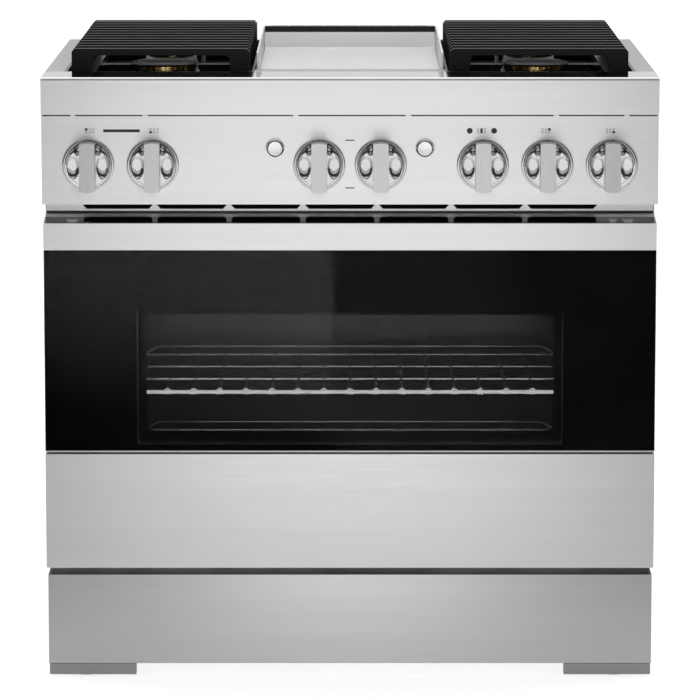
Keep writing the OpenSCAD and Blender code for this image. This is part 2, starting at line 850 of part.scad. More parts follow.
module burner_bases() {
    color("darkgray") at_face() both() for (bf = burner_fs)
        translate([well_mid, bf, 0]) rotate_extrude() polygon([
            [8, well_z - 26], [throat_r, well_z - 26], [throat_r, basin_z], [ring_r + 6, basin_z],
            [ring_r + 6, basin_z + 5], [ring_r + 2, ring_z], [8, ring_z]
        ]);
}

// Brass flame rings with ports cut around the rim.
module burner_rings() {
    ports = 24;
    color("goldenrod") at_face() both() for (bf = burner_fs)
        translate([well_mid, bf, ring_z]) difference() {
            cylinder(r = ring_r, h = ring_h);
            translate([0, 0, -1]) cylinder(r = ring_r - 12, h = ring_h + 2);
            for (i = [0:ports - 1])
                rotate(i * 360 / ports)
                    block([ring_r - 8, ring_r + 1], [-1.2, 1.2], [ring_h - 4, ring_h + 1]);
        }
}

// Domed caps that drop into the rings.
module burner_caps() {
    color("black") at_face() both() for (bf = burner_fs)
        translate([well_mid, bf, 0]) rotate_extrude() polygon(concat(
            [[0, ring_z], [ring_r - 14, ring_z], [ring_r - 14, cap_z], [cap_r, cap_z]],
            [for (a = [0:15:90]) [cap_r - 6 + 6 * cos(a), cap_z + 1 + 4 * sin(a)]],
            [[cap_r / 2, cap_z + 6.2], [0, cap_z + 6.5]]
        ));
}

// Spark electrodes beside the burners.
module igniters() {
    color("white") at_face() both() for (bf = burner_fs) {
        rod_z(well_mid - igniter_off - 1, bf, [well_z - 10, ring_z + 4], 3.2);
        rod_z(well_mid - igniter_off - 1, bf, [ring_z + 3, ring_z + 9], 1);
    }
}

// Cast grate: bars with chamfered ends, a wide rear bar, side rails and feet.
module grate(side) {
    c = 4.5;
    leg = 12;
    foot_z = ledge_z + 0.2;
    rail_z = [foot_z + 3, foot_z + 15];
    x = [grate_in, grate_out];
    first = grate_f + bar_w / 2 + 3;
    last = grate_back - rear_bar_w - bar_w - 20;
    pitch = (last - first) / (bar_count - 1);
    color("black") at_face() mirror([side < 0 ? 1 : 0, 0, 0]) {
        for (i = [0:bar_count - 1])
            slab([first + i * pitch - bar_w / 2, first + i * pitch + bar_w / 2])
                grate_bar(x, rail_z[0], c, leg);
        slab([grate_back - rear_bar_w, grate_back]) grate_bar(x, rail_z[0], c, leg);
        for (rx = [[x[0], x[0] + leg], [x[1] - leg, x[1]]]) {
            block(rx, [grate_f, grate_back], rail_z);
            for (ff = [grate_f, split_f - 14, grate_back - 28])
                block(rx, [ff, ff + 28], [foot_z, rail_z[1]]);
        }
        slab([grate_f, grate_f + 14]) grate_bar(x, foot_z, c, 28);
    }
}

// Outline of one bar: flat top, chamfered shoulders and a leg at each end.
module grate_bar(x, z, c, leg) {
    top = grate_z;
    polygon([
        [x[0], z], [x[0], top - c], [x[0] + c, top], [x[1] - c, top], [x[1], top - c], [x[1], z],
        [x[1] - leg, z], [x[1] - leg - 3, top - bar_t - 4], [x[1] - leg - 8, top - bar_t],
        [x[0] + leg + 8, top - bar_t], [x[0] + leg + 3, top - bar_t - 4], [x[0] + leg, z]
    ]);
}

// ---- Griddle ----

// Side and back walls with the ledges that carry the plate and the grease tray.
module griddle_surround() {
    g = griddle_half;
    i = griddle_in;
    bottom = well_z;
    rest = plate_z - plate_t;
    color("silver") at_face() {
        both() block([i, g], [griddle_f, flue_back - 7], [bottom, wall_z]);
        both() block([i - 16, i], [griddle_f, plate_back + 4], [rest - 4, rest]);
        block([-i, i], [plate_back, plate_back + 4], [bottom, back_wall_z]);
        block([-i, i], [griddle_f, plate_f], [bottom, bottom + 2]);
        both() block([i - 1, i], [griddle_f, griddle_f + 2], [bottom, counter_h - 1]);
    }
}

module griddle_plate() {
    x = griddle_in - gap;
    color("gainsboro") at_face() difference() {
        block([-x, x], [plate_f, plate_back - gap], [plate_z - plate_t, plate_z]);
        translate([0, plate_f, plate_z]) rotate([45, 0, 0])
            cube([2 * x + 2, 3, 3], center = true);
    }
}

// Lift-out trough in front of the plate.
module grease_tray() {
    x = griddle_in - 1.3;
    f = [griddle_f + 2.5, plate_f - 0.5];
    t = 2;
    bottom = plate_z - plate_t + 0.2;
    color("silver") at_face() difference() {
        union() {
            block([-x, x], f, [bottom, plate_z - 1]);
            block([-x, x], [f[0], f[0] + 12], [bottom, counter_h]);
        }
        slab_z([bottom + t, counter_h + 1])
            rect([-x + t, x - t], [f[0] + 12, f[1] - t], 6);
    }
}

// Tube burners under the plate.
module griddle_burner() {
    r = 12;
    x = 62;
    z = well_z - 15;
    f = [ledge_d + 18, body_d - 18];
    color("gray") at_face() both() {
        rod_f(x, z, f, r);
        for (cf = [f[0] + 4, f[1] - 12])
            block([x - 5, x + 5], [cf, cf + 8], [z, well_z - 2.2]);
    }
}

// Dark louvred strip that lets the flue gas out behind the griddle.
module griddle_flue() {
    x = griddle_in - gap;
    slots = 9;
    step = (2 * x - 20) / slots;
    top = counter_h + 26.4;
    color("black") at_face() difference() {
        block([-x, x], [flue_f, flue_back], [well_z, top]);
        block([-x + 2, x - 2], [flue_f + 2, flue_back - 2], [well_z - 1, top - 2]);
        for (i = [0:slots - 1])
            block(
                [-x + 10 + i * step + 2, -x + 10 + (i + 1) * step - 2],
                [flue_f + 6, flue_back - 6], [top - 3, top + 1]
            );
    }
}

// ---- Door ----

// The space that the hinge brackets sweep, as the door sees it.
module hinge_notch() {
    both() block(
        [hinge_x - cheek_out - 2, hinge_x + cheek_out + 2],
        [pivot_f - notch_r, door_back + 1],
        [door_z - 1, pivot_z + notch_r]
    );
}

// Inner pan with its window frame, side channels and the lip under the glass.
module door_frame() {
    t = 2;
    x = inner_w - 0.1;
    z = [door_z + 3, glass_top - 0.2];
    wx = window_w / 2;
    color("dimgray") at_face() {
        difference() {
            union() {
                slab([pan_f, pan_f + t]) difference() {
                    rect([-x, x], z);
                    rect([-wx, wx], [window_z, window_top], 6);
                }
                slab([pan_f + t, inner_f - 0.1]) difference() {
                    rect([-wx - t, wx + t], [window_z - t, window_top + t], 8);
                    rect([-wx, wx], [window_z, window_top], 6);
                }
                block([-x, x], [pan_f + t, inner_f - 0.1], [z[0], z[0] + t]);
                block([-x, x], [pan_f + t, inner_f - 0.1], [z[1] - t, z[1]]);
                both() block([x - t, x], [pan_f, inner_f - 0.1], z);
            }
            hinge_notch();
        }
        both() block([x, half_w], [door_f + glass_t + 1, inner_f - 0.1], [glass_z, glass_top - 0.2]);
        block([-half_w, half_w], [door_f + 0.5, pan_f], [glass_z - 2.2, glass_z - 0.2]);
    }
}

// Folded steel band with a sloping top and closed ends.
module door_top_band() {
    t = sheet;
    front = [door_f, band_z];
    shoulder = [door_f, band_z + band_h];
    back = [door_back, door_top];
    end = 2.1;
    color("silver") at_face() {
        profile([-half_w, half_w]) polygon([
            front, shoulder, back, back - [0, t], shoulder + [t, -t],
            front + [t, t], front + [14, t], front + [14, 0]
        ]);
        both() profile([inner_w, half_w]) polygon([
            front + [t, t], shoulder + [t, -t], back - [end, t + end * band_rise / door_t],
            [door_back - end, band_z + 1.6], front + [14, 1.6]
        ]);
    }
}

module door_glass() {
    color("black") at_face()
        block([-half_w, half_w], [door_f, door_f + glass_t], [glass_z, glass_top]);
}

// Steel skin of the lower door, with folded edges.
module door_lower_panel() {
    t = sheet;
    z = [door_z, lower_top];
    color("silver") at_face() difference() {
        union() {
            block([-half_w, half_w], [door_f, door_f + t], z);
            block([-half_w, half_w], [door_f + t, inner_f - 0.1], [z[0], z[0] + t]);
            block([-half_w, half_w], [door_f + t, pan_f - 0.2], [z[1] - t, z[1]]);
            both() block([inner_w, half_w], [door_f + t, inner_f - 0.1], z);
        }
        hinge_notch();
    }
}

// Inner skin of the door with the window's opening and a raised border.
module door_liner() {
    wx = window_w / 2 - 12;
    color("darkslategray") at_face() difference() {
        slab([inner_f, door_back]) difference() {
            rect([-half_w, half_w], [door_z, door_top - sheet - 0.6]);
            rect([-wx, wx], [window_z + 12, window_top - 12], 12);
        }
        hinge_notch();
    }
}

// Two panes held in the window's frame.
module door_inner_glass() {
    wx = window_w / 2 - gap;
    color("lightblue") at_face() {
        for (f = [pan_f + 12, inner_f - 4.2])
            slab([f, f + 4]) rect([-wx, wx], [window_z + gap, window_top - gap], 5.8);
    }
}

// Mineral wool between the pan and the inner skin.
module door_insulation() {
    x = inner_w - 2.6;
    wx = window_w / 2 + 2.5;
    z = [pivot_z + notch_r + 1, glass_top - 3];
    color("beige") at_face() slab([pan_f + 2.4, inner_f - 0.4]) difference() {
        rect([-x, x], z);
        rect([-wx, wx], [window_z - 2.5, window_top + 2.5]);
        both() rect([hinge_x - arm_w / 2 - 1, hinge_x + arm_w / 2 + 1], [z[0] - 1, arm_top() + 1]);
    }
}

function arm_top() = lower_top - 14;

// Woven seal around the oven's mouth.
module door_gasket() {
    x = oven_half + 24;
    z = [oven_floor_z - 22, min(roof_z + 16, door_top - 4)];
    w = gasket_w;
    color("gray") at_face() slab([door_back, door_back + gasket_t]) difference() {
        rect([-x, x], z, 20);
        rect([-x + w, x - w], [z[0] + w, z[1] - w], 20 - w);
    }
}

// Arms fixed inside the door, with a bored knuckle on each hinge pin.
module hinge_arms() {
    x = [hinge_x - arm_w / 2, hinge_x + arm_w / 2];
    f = [pan_f + 2.2, inner_f - 0.4];
    color("gray") at_face() both() difference() {
        union() {
            rod_x(x, pivot_f, pivot_z, knuckle_r);
            block(x, [pivot_f - knuckle_r, pivot_f + knuckle_r], [pivot_z, pivot_z + notch_r + 4]);
            block(x, f, [pivot_z + notch_r + 2, arm_top()]);
        }
        rod_x([x[0] - 1, x[1] + 1], pivot_f, pivot_z, hinge_pin_r + running);
    }
}

base_frame();
side_panels();
rear_panel();
front_frame();
oven_liner();
oven_floor();
oven_insulation();
rack_guides();
bake_burner();
broil_burner();
fan_baffle();
fan_motor();
oven_lamps();
control_panel();
front_fascia();
vent_rail();
control_bezels();
gas_manifold();
gas_valves();
oven_switches();
gas_regulator();
cooktop_frame();
burner_trays();
burner_bases();
burner_rings();
burner_caps();
igniters();
griddle_surround();
griddle_plate();
griddle_burner();
griddle_flue();
kick_panel();
leg_covers();
levelling_legs();
hinge_brackets();
door_frame();
door_top_band();
door_glass();
door_lower_panel();
door_liner();
door_inner_glass();
door_insulation();
door_gasket();
hinge_arms();
rack(2);  // rack_top
rack(1);  // rack_middle
rack(0);  // rack_bottom
grate(-1);  // grate_left
grate(1);  // grate_right
grease_tray();
convection_fan();
knob(gas_knob_xs[0]);  // knob_rear_left
knob(gas_knob_xs[1]);  // knob_front_left
knob(oven_knob_xs[0]);  // knob_oven_mode
knob(oven_knob_xs[1]);  // knob_oven_heat
knob(gas_knob_xs[2]);  // knob_griddle
knob(gas_knob_xs[3]);  // knob_rear_right
knob(gas_knob_xs[4]);  // knob_front_right
button(button_xs[0]);  // button_left
button(button_xs[1]);  // button_right
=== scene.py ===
# %% [markdown]
# # A freestanding gas range
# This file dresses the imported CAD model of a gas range. The CAD parts are loaded first and stay
# where they are. Then each part gets a procedural finish, and the parts that deserve finer
# shapes get a detailed mesh that stands in for them. Lengths are in metres throughout.

# %% Load the frame
import json
import math

import bmesh
import bpy
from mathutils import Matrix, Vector

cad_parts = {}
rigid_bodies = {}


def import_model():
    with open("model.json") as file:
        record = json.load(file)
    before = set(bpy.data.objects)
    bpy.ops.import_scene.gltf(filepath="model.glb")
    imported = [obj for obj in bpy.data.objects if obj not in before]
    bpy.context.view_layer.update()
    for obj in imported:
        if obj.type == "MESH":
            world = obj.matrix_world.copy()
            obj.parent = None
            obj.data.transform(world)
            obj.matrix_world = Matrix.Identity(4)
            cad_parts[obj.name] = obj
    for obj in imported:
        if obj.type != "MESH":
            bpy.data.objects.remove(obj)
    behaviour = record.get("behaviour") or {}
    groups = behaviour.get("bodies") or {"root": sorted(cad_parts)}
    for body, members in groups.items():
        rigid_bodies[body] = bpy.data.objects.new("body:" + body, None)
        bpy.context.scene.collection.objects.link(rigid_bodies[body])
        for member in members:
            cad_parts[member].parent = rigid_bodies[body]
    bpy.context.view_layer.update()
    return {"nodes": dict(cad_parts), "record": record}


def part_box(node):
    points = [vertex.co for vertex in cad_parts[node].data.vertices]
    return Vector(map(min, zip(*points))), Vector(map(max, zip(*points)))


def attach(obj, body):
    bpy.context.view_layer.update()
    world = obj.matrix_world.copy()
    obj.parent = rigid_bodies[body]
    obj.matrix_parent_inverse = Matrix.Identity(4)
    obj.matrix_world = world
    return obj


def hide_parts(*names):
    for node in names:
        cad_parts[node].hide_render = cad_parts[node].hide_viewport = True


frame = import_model()
nodes = frame["nodes"]
BODY = {n: b for b, ns in frame["record"]["behaviour"]["bodies"].items() for n in ns}
MM = 0.001

# %% [markdown]
# ## Measures from the frame
# Every piece is placed from the boxes of the CAD nodes, so nothing needs fitting by eye. The
# names below are the planes and centres that several pieces share.

# %% Shared planes
def lo(node):
    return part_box(node)[0]


def hi(node):
    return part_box(node)[1]


HALF_W = hi("front_fascia")[0]
FACE_Y = lo("front_fascia")[1]
DECK_Z = hi("cooktop_frame")[2]
PANEL_Y = lo("control_panel")[1]
KNOBS = sorted(n for n in nodes if n.startswith("knob_"))
BUTTONS = sorted(n for n in nodes if n.startswith("button_"))


def centre(node):
    low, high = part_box(node)
    return [(a + b) / 2 for a, b in zip(low, high)]


print("deck at", round(DECK_Z, 4), "fascia at", round(FACE_Y, 4), "half width", round(HALF_W, 4))

# %% [markdown]
# ## Building finishes from nodes
# A finish is a small node network: object coordinates, stretched noise for the grain, and a
# Principled shader. One helper writes the parts that all finishes share, and each finish then
# adds what is special to it. Values that are the same all over go straight on the shader.

# %% Node helpers
def new_finish(name, colour, metallic=0.0, rough=0.4, **extra):
    """A material with a Principled shader, its uniform values set on the shader's own sockets."""
    mat = bpy.data.materials.new(name)
    mat.use_nodes = True
    shader = mat.node_tree.nodes["Principled BSDF"]
    shader.inputs["Base Color"].default_value = (*colour, 1.0)
    shader.inputs["Metallic"].default_value = metallic
    shader.inputs["Roughness"].default_value = rough
    for socket, value in extra.items():
        shader.inputs[socket.replace("_", " ")].default_value = value
    return mat, mat.node_tree, shader


def stretched(tree, scale):
    """Object coordinates multiplied by scale, so that a pattern can be long one way."""
    coords = tree.nodes.new("ShaderNodeTexCoord")
    mapping = tree.nodes.new("ShaderNodeMapping")
    mapping.inputs["Scale"].default_value = scale
    tree.links.new(coords.outputs["Object"], mapping.inputs["Vector"])
    return mapping.outputs["Vector"]


def noise(tree, scale, detail=3.0, rough=0.6):
    """Noise in stretched object coordinates. Returns its factor."""
    tex = tree.nodes.new("ShaderNodeTexNoise")
    tex.inputs["Scale"].default_value = 1.0
    tex.inputs["Detail"].default_value = detail
    tex.inputs["Roughness"].default_value = rough
    tree.links.new(stretched(tree, scale), tex.inputs["Vector"])
    return tex.outputs["Fac"]


def remap(tree, value, low, high, source=(0.3, 0.7)):
    """A factor moved from its source range to low..high."""
    node = tree.nodes.new("ShaderNodeMapRange")
    node.inputs["From Min"].default_value = source[0]
    node.inputs["From Max"].default_value = source[1]
    node.inputs["To Min"].default_value = low
    node.inputs["To Max"].default_value = high
    tree.links.new(value, node.inputs["Value"])
    return node.outputs["Result"]


def tint(tree, value, dark, light, source=(0.3, 0.7)):
    """A colour between dark and light, chosen by a factor."""
    ramp = tree.nodes.new("ShaderNodeValToRGB")
    ramp.color_ramp.elements[0].position = source[0]
    ramp.color_ramp.elements[1].position = source[1]
    ramp.color_ramp.elements[0].color = (*dark, 1.0)
    ramp.color_ramp.elements[1].color = (*light, 1.0)
    tree.links.new(value, ramp.inputs["Fac"])
    return ramp.outputs["Color"]


def relief(tree, shader, value, depth, strength=1.0):
    """Small relief on the surface, from a factor, with its depth in metres."""
    bump = tree.nodes.new("ShaderNodeBump")
    bump.inputs["Strength"].default_value = strength
    bump.inputs["Distance"].default_value = depth
    tree.links.new(value, bump.inputs["Height"])
    tree.links.new(bump.outputs["Normal"], shader.inputs["Normal"])


def grey(value):
    return (value, value, value)


print("finish helpers ready")

# %% [markdown]
# ## Brushed stainless steel
# The fascia, the panels and the door are brushed from side to side. Real brushing is thousands
# of fine scratches, which here are three layers of noise: long soft bands, streaks a few
# centimetres long, and hair-fine lines. The streaks change the colour and the roughness a
# little, and the fine lines tilt the surface, which spreads highlights up and down.

# %% Brushed finishes
def brushed_finish(name, value, rough, along="x", contrast=0.05, lines=0.35, **extra):
    mat, tree, shader = new_finish(name, grey(value), metallic=1.0, rough=rough, **extra)
    order = {"x": (0, 1, 2), "y": (1, 0, 2), "z": (2, 1, 0)}[along]

    def scale(long, across):
        values = [across, across, across]
        values[order[0]] = long
        return values

    bands = noise(tree, scale(1.2, 45.0), 2.0)
    streaks = noise(tree, scale(22.0, 620.0), 4.0, 0.7)
    hairs = noise(tree, scale(60.0, 2600.0), 2.0)
    mix = tree.nodes.new("ShaderNodeMath")
    mix.operation = "MULTIPLY_ADD"
    mix.inputs[1].default_value = 0.45
    tree.links.new(bands, mix.inputs[0])
    half = tree.nodes.new("ShaderNodeMath")
    half.operation = "MULTIPLY"
    half.inputs[1].default_value = 0.55
    tree.links.new(streaks, half.inputs[0])
    tree.links.new(half.outputs["Value"], mix.inputs[2])
    grain = mix.outputs["Value"]
    dark = tuple(c * (1 - contrast) for c in grey(value))
    light = tuple(min(1.0, c * (1 + contrast)) for c in grey(value))
    tree.links.new(tint(tree, grain, dark, light), shader.inputs["Base Color"])
    tree.links.new(remap(tree, streaks, rough * 0.85, rough * 1.2), shader.inputs["Roughness"])
    relief(tree, shader, hairs, 0.00004, lines)
    return mat


STEEL = brushed_finish("brushed_stainless", 0.72, 0.34)
# The next three are the fascia's steel made darker for the lower door panel, the kick panel and the leg covers:
# painted shade, darkest at the foot of the range.
STEEL_PAINTED_SHADE_DOOR = brushed_finish("brushed_stainless_painted_shade_door", 0.52, 0.36)
STEEL_PAINTED_SHADE_KICK = brushed_finish("brushed_stainless_painted_shade_kick", 0.34, 0.36)
STEEL_PAINTED_SHADE_LEGS = brushed_finish("brushed_stainless_painted_shade_legs", 0.22, 0.36)
STEEL_SIDE = brushed_finish("brushed_stainless_side", 0.62, 0.40, along="z")
# The deck's copy is darker, and a grey tint dims its grazing reflection: painted shade on the cooktop.
STEEL_PAINTED_SHADE_DECK = brushed_finish("brushed_stainless_painted_shade_deck", 0.60, 0.42, along="y",
                            Specular_Tint=(0.55, 0.55, 0.55, 1.0))
GRIP_STEEL = brushed_finish("brushed_grip", 0.52, 0.30, along="z", contrast=0.03)
POLISHED = brushed_finish("polished_ledge", 0.70, 0.08, contrast=0.02, lines=0.0,
                          Specular_Tint=(0.7, 0.7, 0.7, 1.0))
GRIDDLE_STEEL = brushed_finish("griddle_steel", 0.64, 0.38, along="x", contrast=0.02, lines=0.04)
print("brushed finishes:", 9)

# %% [markdown]
# ## Plated and plain metals
# Chrome is almost a mirror, so its interest comes from shape. A trace of noise in its roughness
# keeps it from looking like a computer's mirror. Zinc plate is duller and slightly blotchy, and
# brass and aluminium show fine machining.

# %% Plain metals
def metal_finish(name, colour, rough, blotch=18.0, spread=0.25, contrast=0.04, grain=900.0,
                 depth=0.00002):
    mat, tree, shader = new_finish(name, colour, metallic=1.0, rough=rough)
    patches = noise(tree, (blotch, blotch, blotch), 4.0)
    fine = noise(tree, (grain, grain, grain), 2.0)
    dark = tuple(c * (1 - contrast) for c in colour)
    light = tuple(min(1.0, c * (1 + contrast)) for c in colour)
    tree.links.new(tint(tree, patches, dark, light), shader.inputs["Base Color"])
    tree.links.new(remap(tree, patches, rough * (1 - spread), rough * (1 + spread)), shader.inputs["Roughness"])
    relief(tree, shader, fine, depth, 0.3)
    return mat


CHROME = metal_finish("bright_chrome", (0.80, 0.80, 0.81), 0.07, contrast=0.01, depth=0.000004)
RACK_CHROME = metal_finish("rack_plating", (0.62, 0.62, 0.64), 0.22)
ZINC = metal_finish("zinc_plate", (0.50, 0.51, 0.53), 0.42, contrast=0.12)
BRASS = metal_finish("machined_brass", (0.86, 0.60, 0.25), 0.22, contrast=0.10)
ALUMINIUM = metal_finish("cast_aluminium", (0.58, 0.58, 0.59), 0.45, grain=500.0, depth=0.00008)
DARK_METAL = metal_finish("heat_darkened_steel", (0.16, 0.15, 0.15), 0.45, contrast=0.2)
print("plain metals:", 6)

# %% [markdown]
# ## Enamel, cast iron and the rest
# Porcelain enamel is glass fused to steel: glossy, with a faint orange-peel ripple, and in the
# oven a fine pale speckle. The grates are coated cast iron, which is matt and pebbly. Glass,
# mineral wool, woven seal, ceramic and moulded plastic complete the set.

# %% Coatings and other materials
def enamel_finish(name, colour, rough=0.12, speckle=0.0, level=0.5):
    mat, tree, shader = new_finish(name, colour, rough=rough, Specular_IOR_Level=level)
    ripple = noise(tree, (160.0, 160.0, 160.0), 2.0)
    if speckle:
        dots = noise(tree, (900.0, 900.0, 900.0), 1.0)
        light = tuple(min(1.0, c + speckle) for c in colour)
        tree.links.new(tint(tree, dots, colour, light, (0.60, 0.68)), shader.inputs["Base Color"])
    else:
        soft = noise(tree, (12.0, 12.0, 12.0), 3.0)
        light = tuple(min(1.0, c * 1.3 + 0.002) for c in colour)
        tree.links.new(tint(tree, soft, colour, light), shader.inputs["Base Color"])
    relief(tree, shader, ripple, 0.00005, 0.4)
    return mat


def rough_finish(name, dark, light, rough, scale, depth, **extra):
    """A matt surface with a pebbly or fibrous relief."""
    mat, tree, shader = new_finish(name, dark, rough=rough, **extra)
    pattern = noise(tree, scale, 6.0, 0.65)
    tree.links.new(tint(tree, pattern, dark, light), shader.inputs["Base Color"])
    tree.links.new(remap(tree, pattern, rough * 0.9, min(1.0, rough * 1.15)), shader.inputs["Roughness"])
    relief(tree, shader, pattern, depth, 0.7)
    return mat


BLACK_ENAMEL = enamel_finish("black_enamel", grey(0.004))
OVEN_ENAMEL = enamel_finish("speckled_enamel", (0.030, 0.033, 0.040), 0.18, speckle=0.25)
TRAY_ENAMEL = enamel_finish("well_enamel", grey(0.004), 0.32, level=0.25)
CAP_ENAMEL = enamel_finish("burner_cap_enamel", grey(0.009), 0.30)
IRON = rough_finish("coated_cast_iron", grey(0.007), grey(0.016), 0.55, (420.0,) * 3, 0.00025,
                    Specular_IOR_Level=0.16)
WOOL = rough_finish("mineral_wool", (0.45, 0.38, 0.22), (0.70, 0.62, 0.42), 0.95, (90.0, 90.0, 260.0), 0.002)
SEAL = rough_finish("woven_seal", grey(0.10), grey(0.28), 0.90, (700.0,) * 3, 0.0006)
CERAMIC = rough_finish("white_ceramic", grey(0.70), grey(0.82), 0.25, (60.0,) * 3, 0.00002)
PLASTIC = rough_finish("moulded_plastic", grey(0.015), grey(0.024), 0.45, (300.0,) * 3, 0.00008)
# This black is print on the panel, and it also draws the painted shade strip under the fascia.
INK_AND_GAP_SHADE = rough_finish("black_print_and_gap_shade", grey(0.006), grey(0.012), 0.45, (200.0,) * 3, 0.00001)
GREY_INK = rough_finish("grey_print", grey(0.12), grey(0.16), 0.50, (200.0,) * 3, 0.00001)
print("coatings and others:", 10)

# %% [markdown]
# ## Glass
# The door's front pane is tinted, and everything around the window is printed black on its
# inside. The pane itself lets some light through, so the racks show faintly in the window. A
# part-transparent shader is used instead of refraction, because it lets the studio light reach
# the oven and also survives the export.

# %% Glass finishes
def glass_finish(name, colour, alpha, rough=0.03, level=0.5):
    mat, tree, shader = new_finish(name, colour, rough=rough, Alpha=alpha, Specular_IOR_Level=level)
    ripple = noise(tree, (9.0, 9.0, 9.0), 1.0)
    light = tuple(min(1.0, c * 1.15 + 0.001) for c in colour)
    tree.links.new(tint(tree, ripple, colour, light), shader.inputs["Base Color"])
    return mat


TINTED = glass_finish("tinted_door_glass", grey(0.0006), 0.45, rough=0.03, level=0.02)
CLEAR = glass_finish("clear_inner_glass", (0.03, 0.035, 0.034), 0.10, level=0.3)
LENS = glass_finish("lamp_lens", (0.75, 0.72, 0.62), 0.75, rough=0.15)
# This black is the print behind the glass, and it also draws the painted shade plate behind the vent rail.
BACK_PRINT_AND_VENT_SHADE = enamel_finish("glass_back_print_and_vent_shade", grey(0.0006), 0.5, level=0.03)
# This gloss black is a painted dark reflection, laid on the front of the door's steel top.
DARK_REFLECTION_BLACK = enamel_finish("gloss_black_painted_reflection", grey(0.003), 0.08)
print("glass finishes:", 4)

# %% [markdown]
# ## Dressing the CAD nodes
# Nodes whose shape is already right keep their CAD mesh and only change material. The rest are
# replaced further down.

# %% Finish for each node
FINISH = {
    "base_frame": ZINC, "side_panels": STEEL_SIDE, "rear_panel": ZINC, "front_frame": BLACK_ENAMEL,
    "oven_liner": OVEN_ENAMEL, "oven_floor": OVEN_ENAMEL, "oven_insulation": WOOL,
    "rack_guides": RACK_CHROME, "bake_burner": DARK_METAL, "broil_burner": DARK_METAL,
    "fan_baffle": OVEN_ENAMEL, "fan_motor": ZINC, "oven_lamps": LENS, "control_panel": STEEL,
    "front_fascia": STEEL, "vent_rail": STEEL, "control_bezels": CHROME, "gas_manifold": ZINC,
    "gas_valves": BRASS, "oven_switches": PLASTIC, "gas_regulator": ALUMINIUM,
    "cooktop_frame": STEEL_PAINTED_SHADE_DECK, "burner_trays": TRAY_ENAMEL, "burner_bases": ALUMINIUM,
    "burner_rings": BRASS, "burner_caps": CAP_ENAMEL, "igniters": CERAMIC,
    "griddle_surround": GRIDDLE_STEEL, "griddle_plate": GRIDDLE_STEEL, "griddle_burner": DARK_METAL,
    "griddle_flue": BLACK_ENAMEL, "kick_panel": STEEL_PAINTED_SHADE_KICK, "leg_covers": STEEL_PAINTED_SHADE_LEGS, "levelling_legs": ZINC,
    "hinge_brackets": ZINC, "door_frame": ZINC, "door_top_band": STEEL, "door_glass": TINTED,
    "door_lower_panel": STEEL_PAINTED_SHADE_DOOR, "door_liner": OVEN_ENAMEL, "door_inner_glass": CLEAR,
    "door_insulation": WOOL, "door_gasket": SEAL, "hinge_arms": ZINC, "rack_top": RACK_CHROME,
    "rack_middle": RACK_CHROME, "rack_bottom": RACK_CHROME, "grate_left": IRON, "grate_right": IRON,
    "grease_tray": POLISHED, "convection_fan": DARK_METAL,
}
FINISH.update({n: CHROME for n in KNOBS + BUTTONS})
for name, obj in nodes.items():
    obj.data.materials.clear()
    obj.data.materials.append(FINISH[name])
print("dressed", len(FINISH), "nodes")

# %% [markdown]
# ## Softened copies
# No sheet or casting has a perfectly sharp edge: the small round along it catches the light.
# A softened copy starts from the CAD node's own mesh, so its size and place are exact. Its
# vertices are welded, flat neighbours are joined, and a narrow bevel rounds every real edge.

# %% Softened copy of a node
def welded(node):
    """The CAD node's mesh with shared vertices and clean flat faces."""
    mesh = bmesh.new()
    mesh.from_mesh(nodes[node].data)
    bmesh.ops.remove_doubles(mesh, verts=mesh.verts, dist=0.00001)
    bmesh.ops.dissolve_limit(
        mesh, angle_limit=math.radians(1.0), verts=mesh.verts, edges=mesh.edges, delimit=set())
    return mesh


def place(name, data, node, finishes):
    """Links a piece, gives it its finishes, and lets it ride with its node's body."""
    piece = bpy.data.objects.new(name, data)
    bpy.context.scene.collection.objects.link(piece)
    for finish in finishes:
        data.materials.append(finish)
    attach(piece, BODY[node])
    return piece


def smooth(data, angle=35.0):
    """Smooth shading that keeps real edges sharp."""
    data.shade_smooth()
    mesh = bmesh.new()
    mesh.from_mesh(data)
    limit = math.radians(angle)
    for edge in mesh.edges:
        edge.smooth = len(edge.link_faces) == 2 and edge.calc_face_angle(0.0) < limit
    mesh.to_mesh(data)
    mesh.free()


def rounded(piece, width, segments=2):
    """Rounds a piece's real edges. The flat faces keep flat shading, because big faces weigh more."""
    bevel = piece.modifiers.new("edge_round", "BEVEL")
    bevel.width = width
    bevel.segments = segments
    bevel.limit_method = "ANGLE"
    bevel.angle_limit = math.radians(30.0)
    even = piece.modifiers.new("even_shading", "WEIGHTED_NORMAL")
    even.weight = 100
    even.keep_sharp = False
    piece.data.shade_smooth()


def softened(node, width, finishes=None, segments=2, pick=None):
    """A bevelled copy that replaces the node. pick(face) may return a finish's number."""
    mesh = welded(node)
    if pick:
        for face in mesh.faces:
            face.material_index = pick(face)
    data = bpy.data.meshes.new(node + "_soft")
    mesh.to_mesh(data)
    mesh.free()
    piece = place(node + "_soft", data, node, finishes or [FINISH[node]])
    rounded(piece, width, segments)
    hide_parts(node)
    return piece


SOFT = {
    "grate_left": 1.4, "grate_right": 1.4, "control_panel": 0.5, "cooktop_frame": 0.6,
    "burner_trays": 1.2, "kick_panel": 0.5, "leg_covers": 0.4, "door_lower_panel": 0.5,
    "door_top_band": 0.5, "griddle_surround": 0.7, "griddle_plate": 0.8, "grease_tray": 0.7,
    "griddle_flue": 0.6, "vent_rail": 0.3, "side_panels": 0.4, "rear_panel": 0.4,
    "burner_bases": 0.8, "burner_rings": 0.4, "gas_regulator": 1.0, "hinge_brackets": 0.4,
    "hinge_arms": 0.6, "oven_lamps": 1.0,
}
for name, width in SOFT.items():
    softened(name, width * MM)
print("softened", len(SOFT), "nodes")

# %% [markdown]
# ## The fascia and its mirror ledge
# One sheet is folded into the fascia: its upright face is brushed, and the top that runs back
# to the burners is polished so far that it mirrors the grates. Both belong to one softened
# copy, and each face's direction decides its finish.

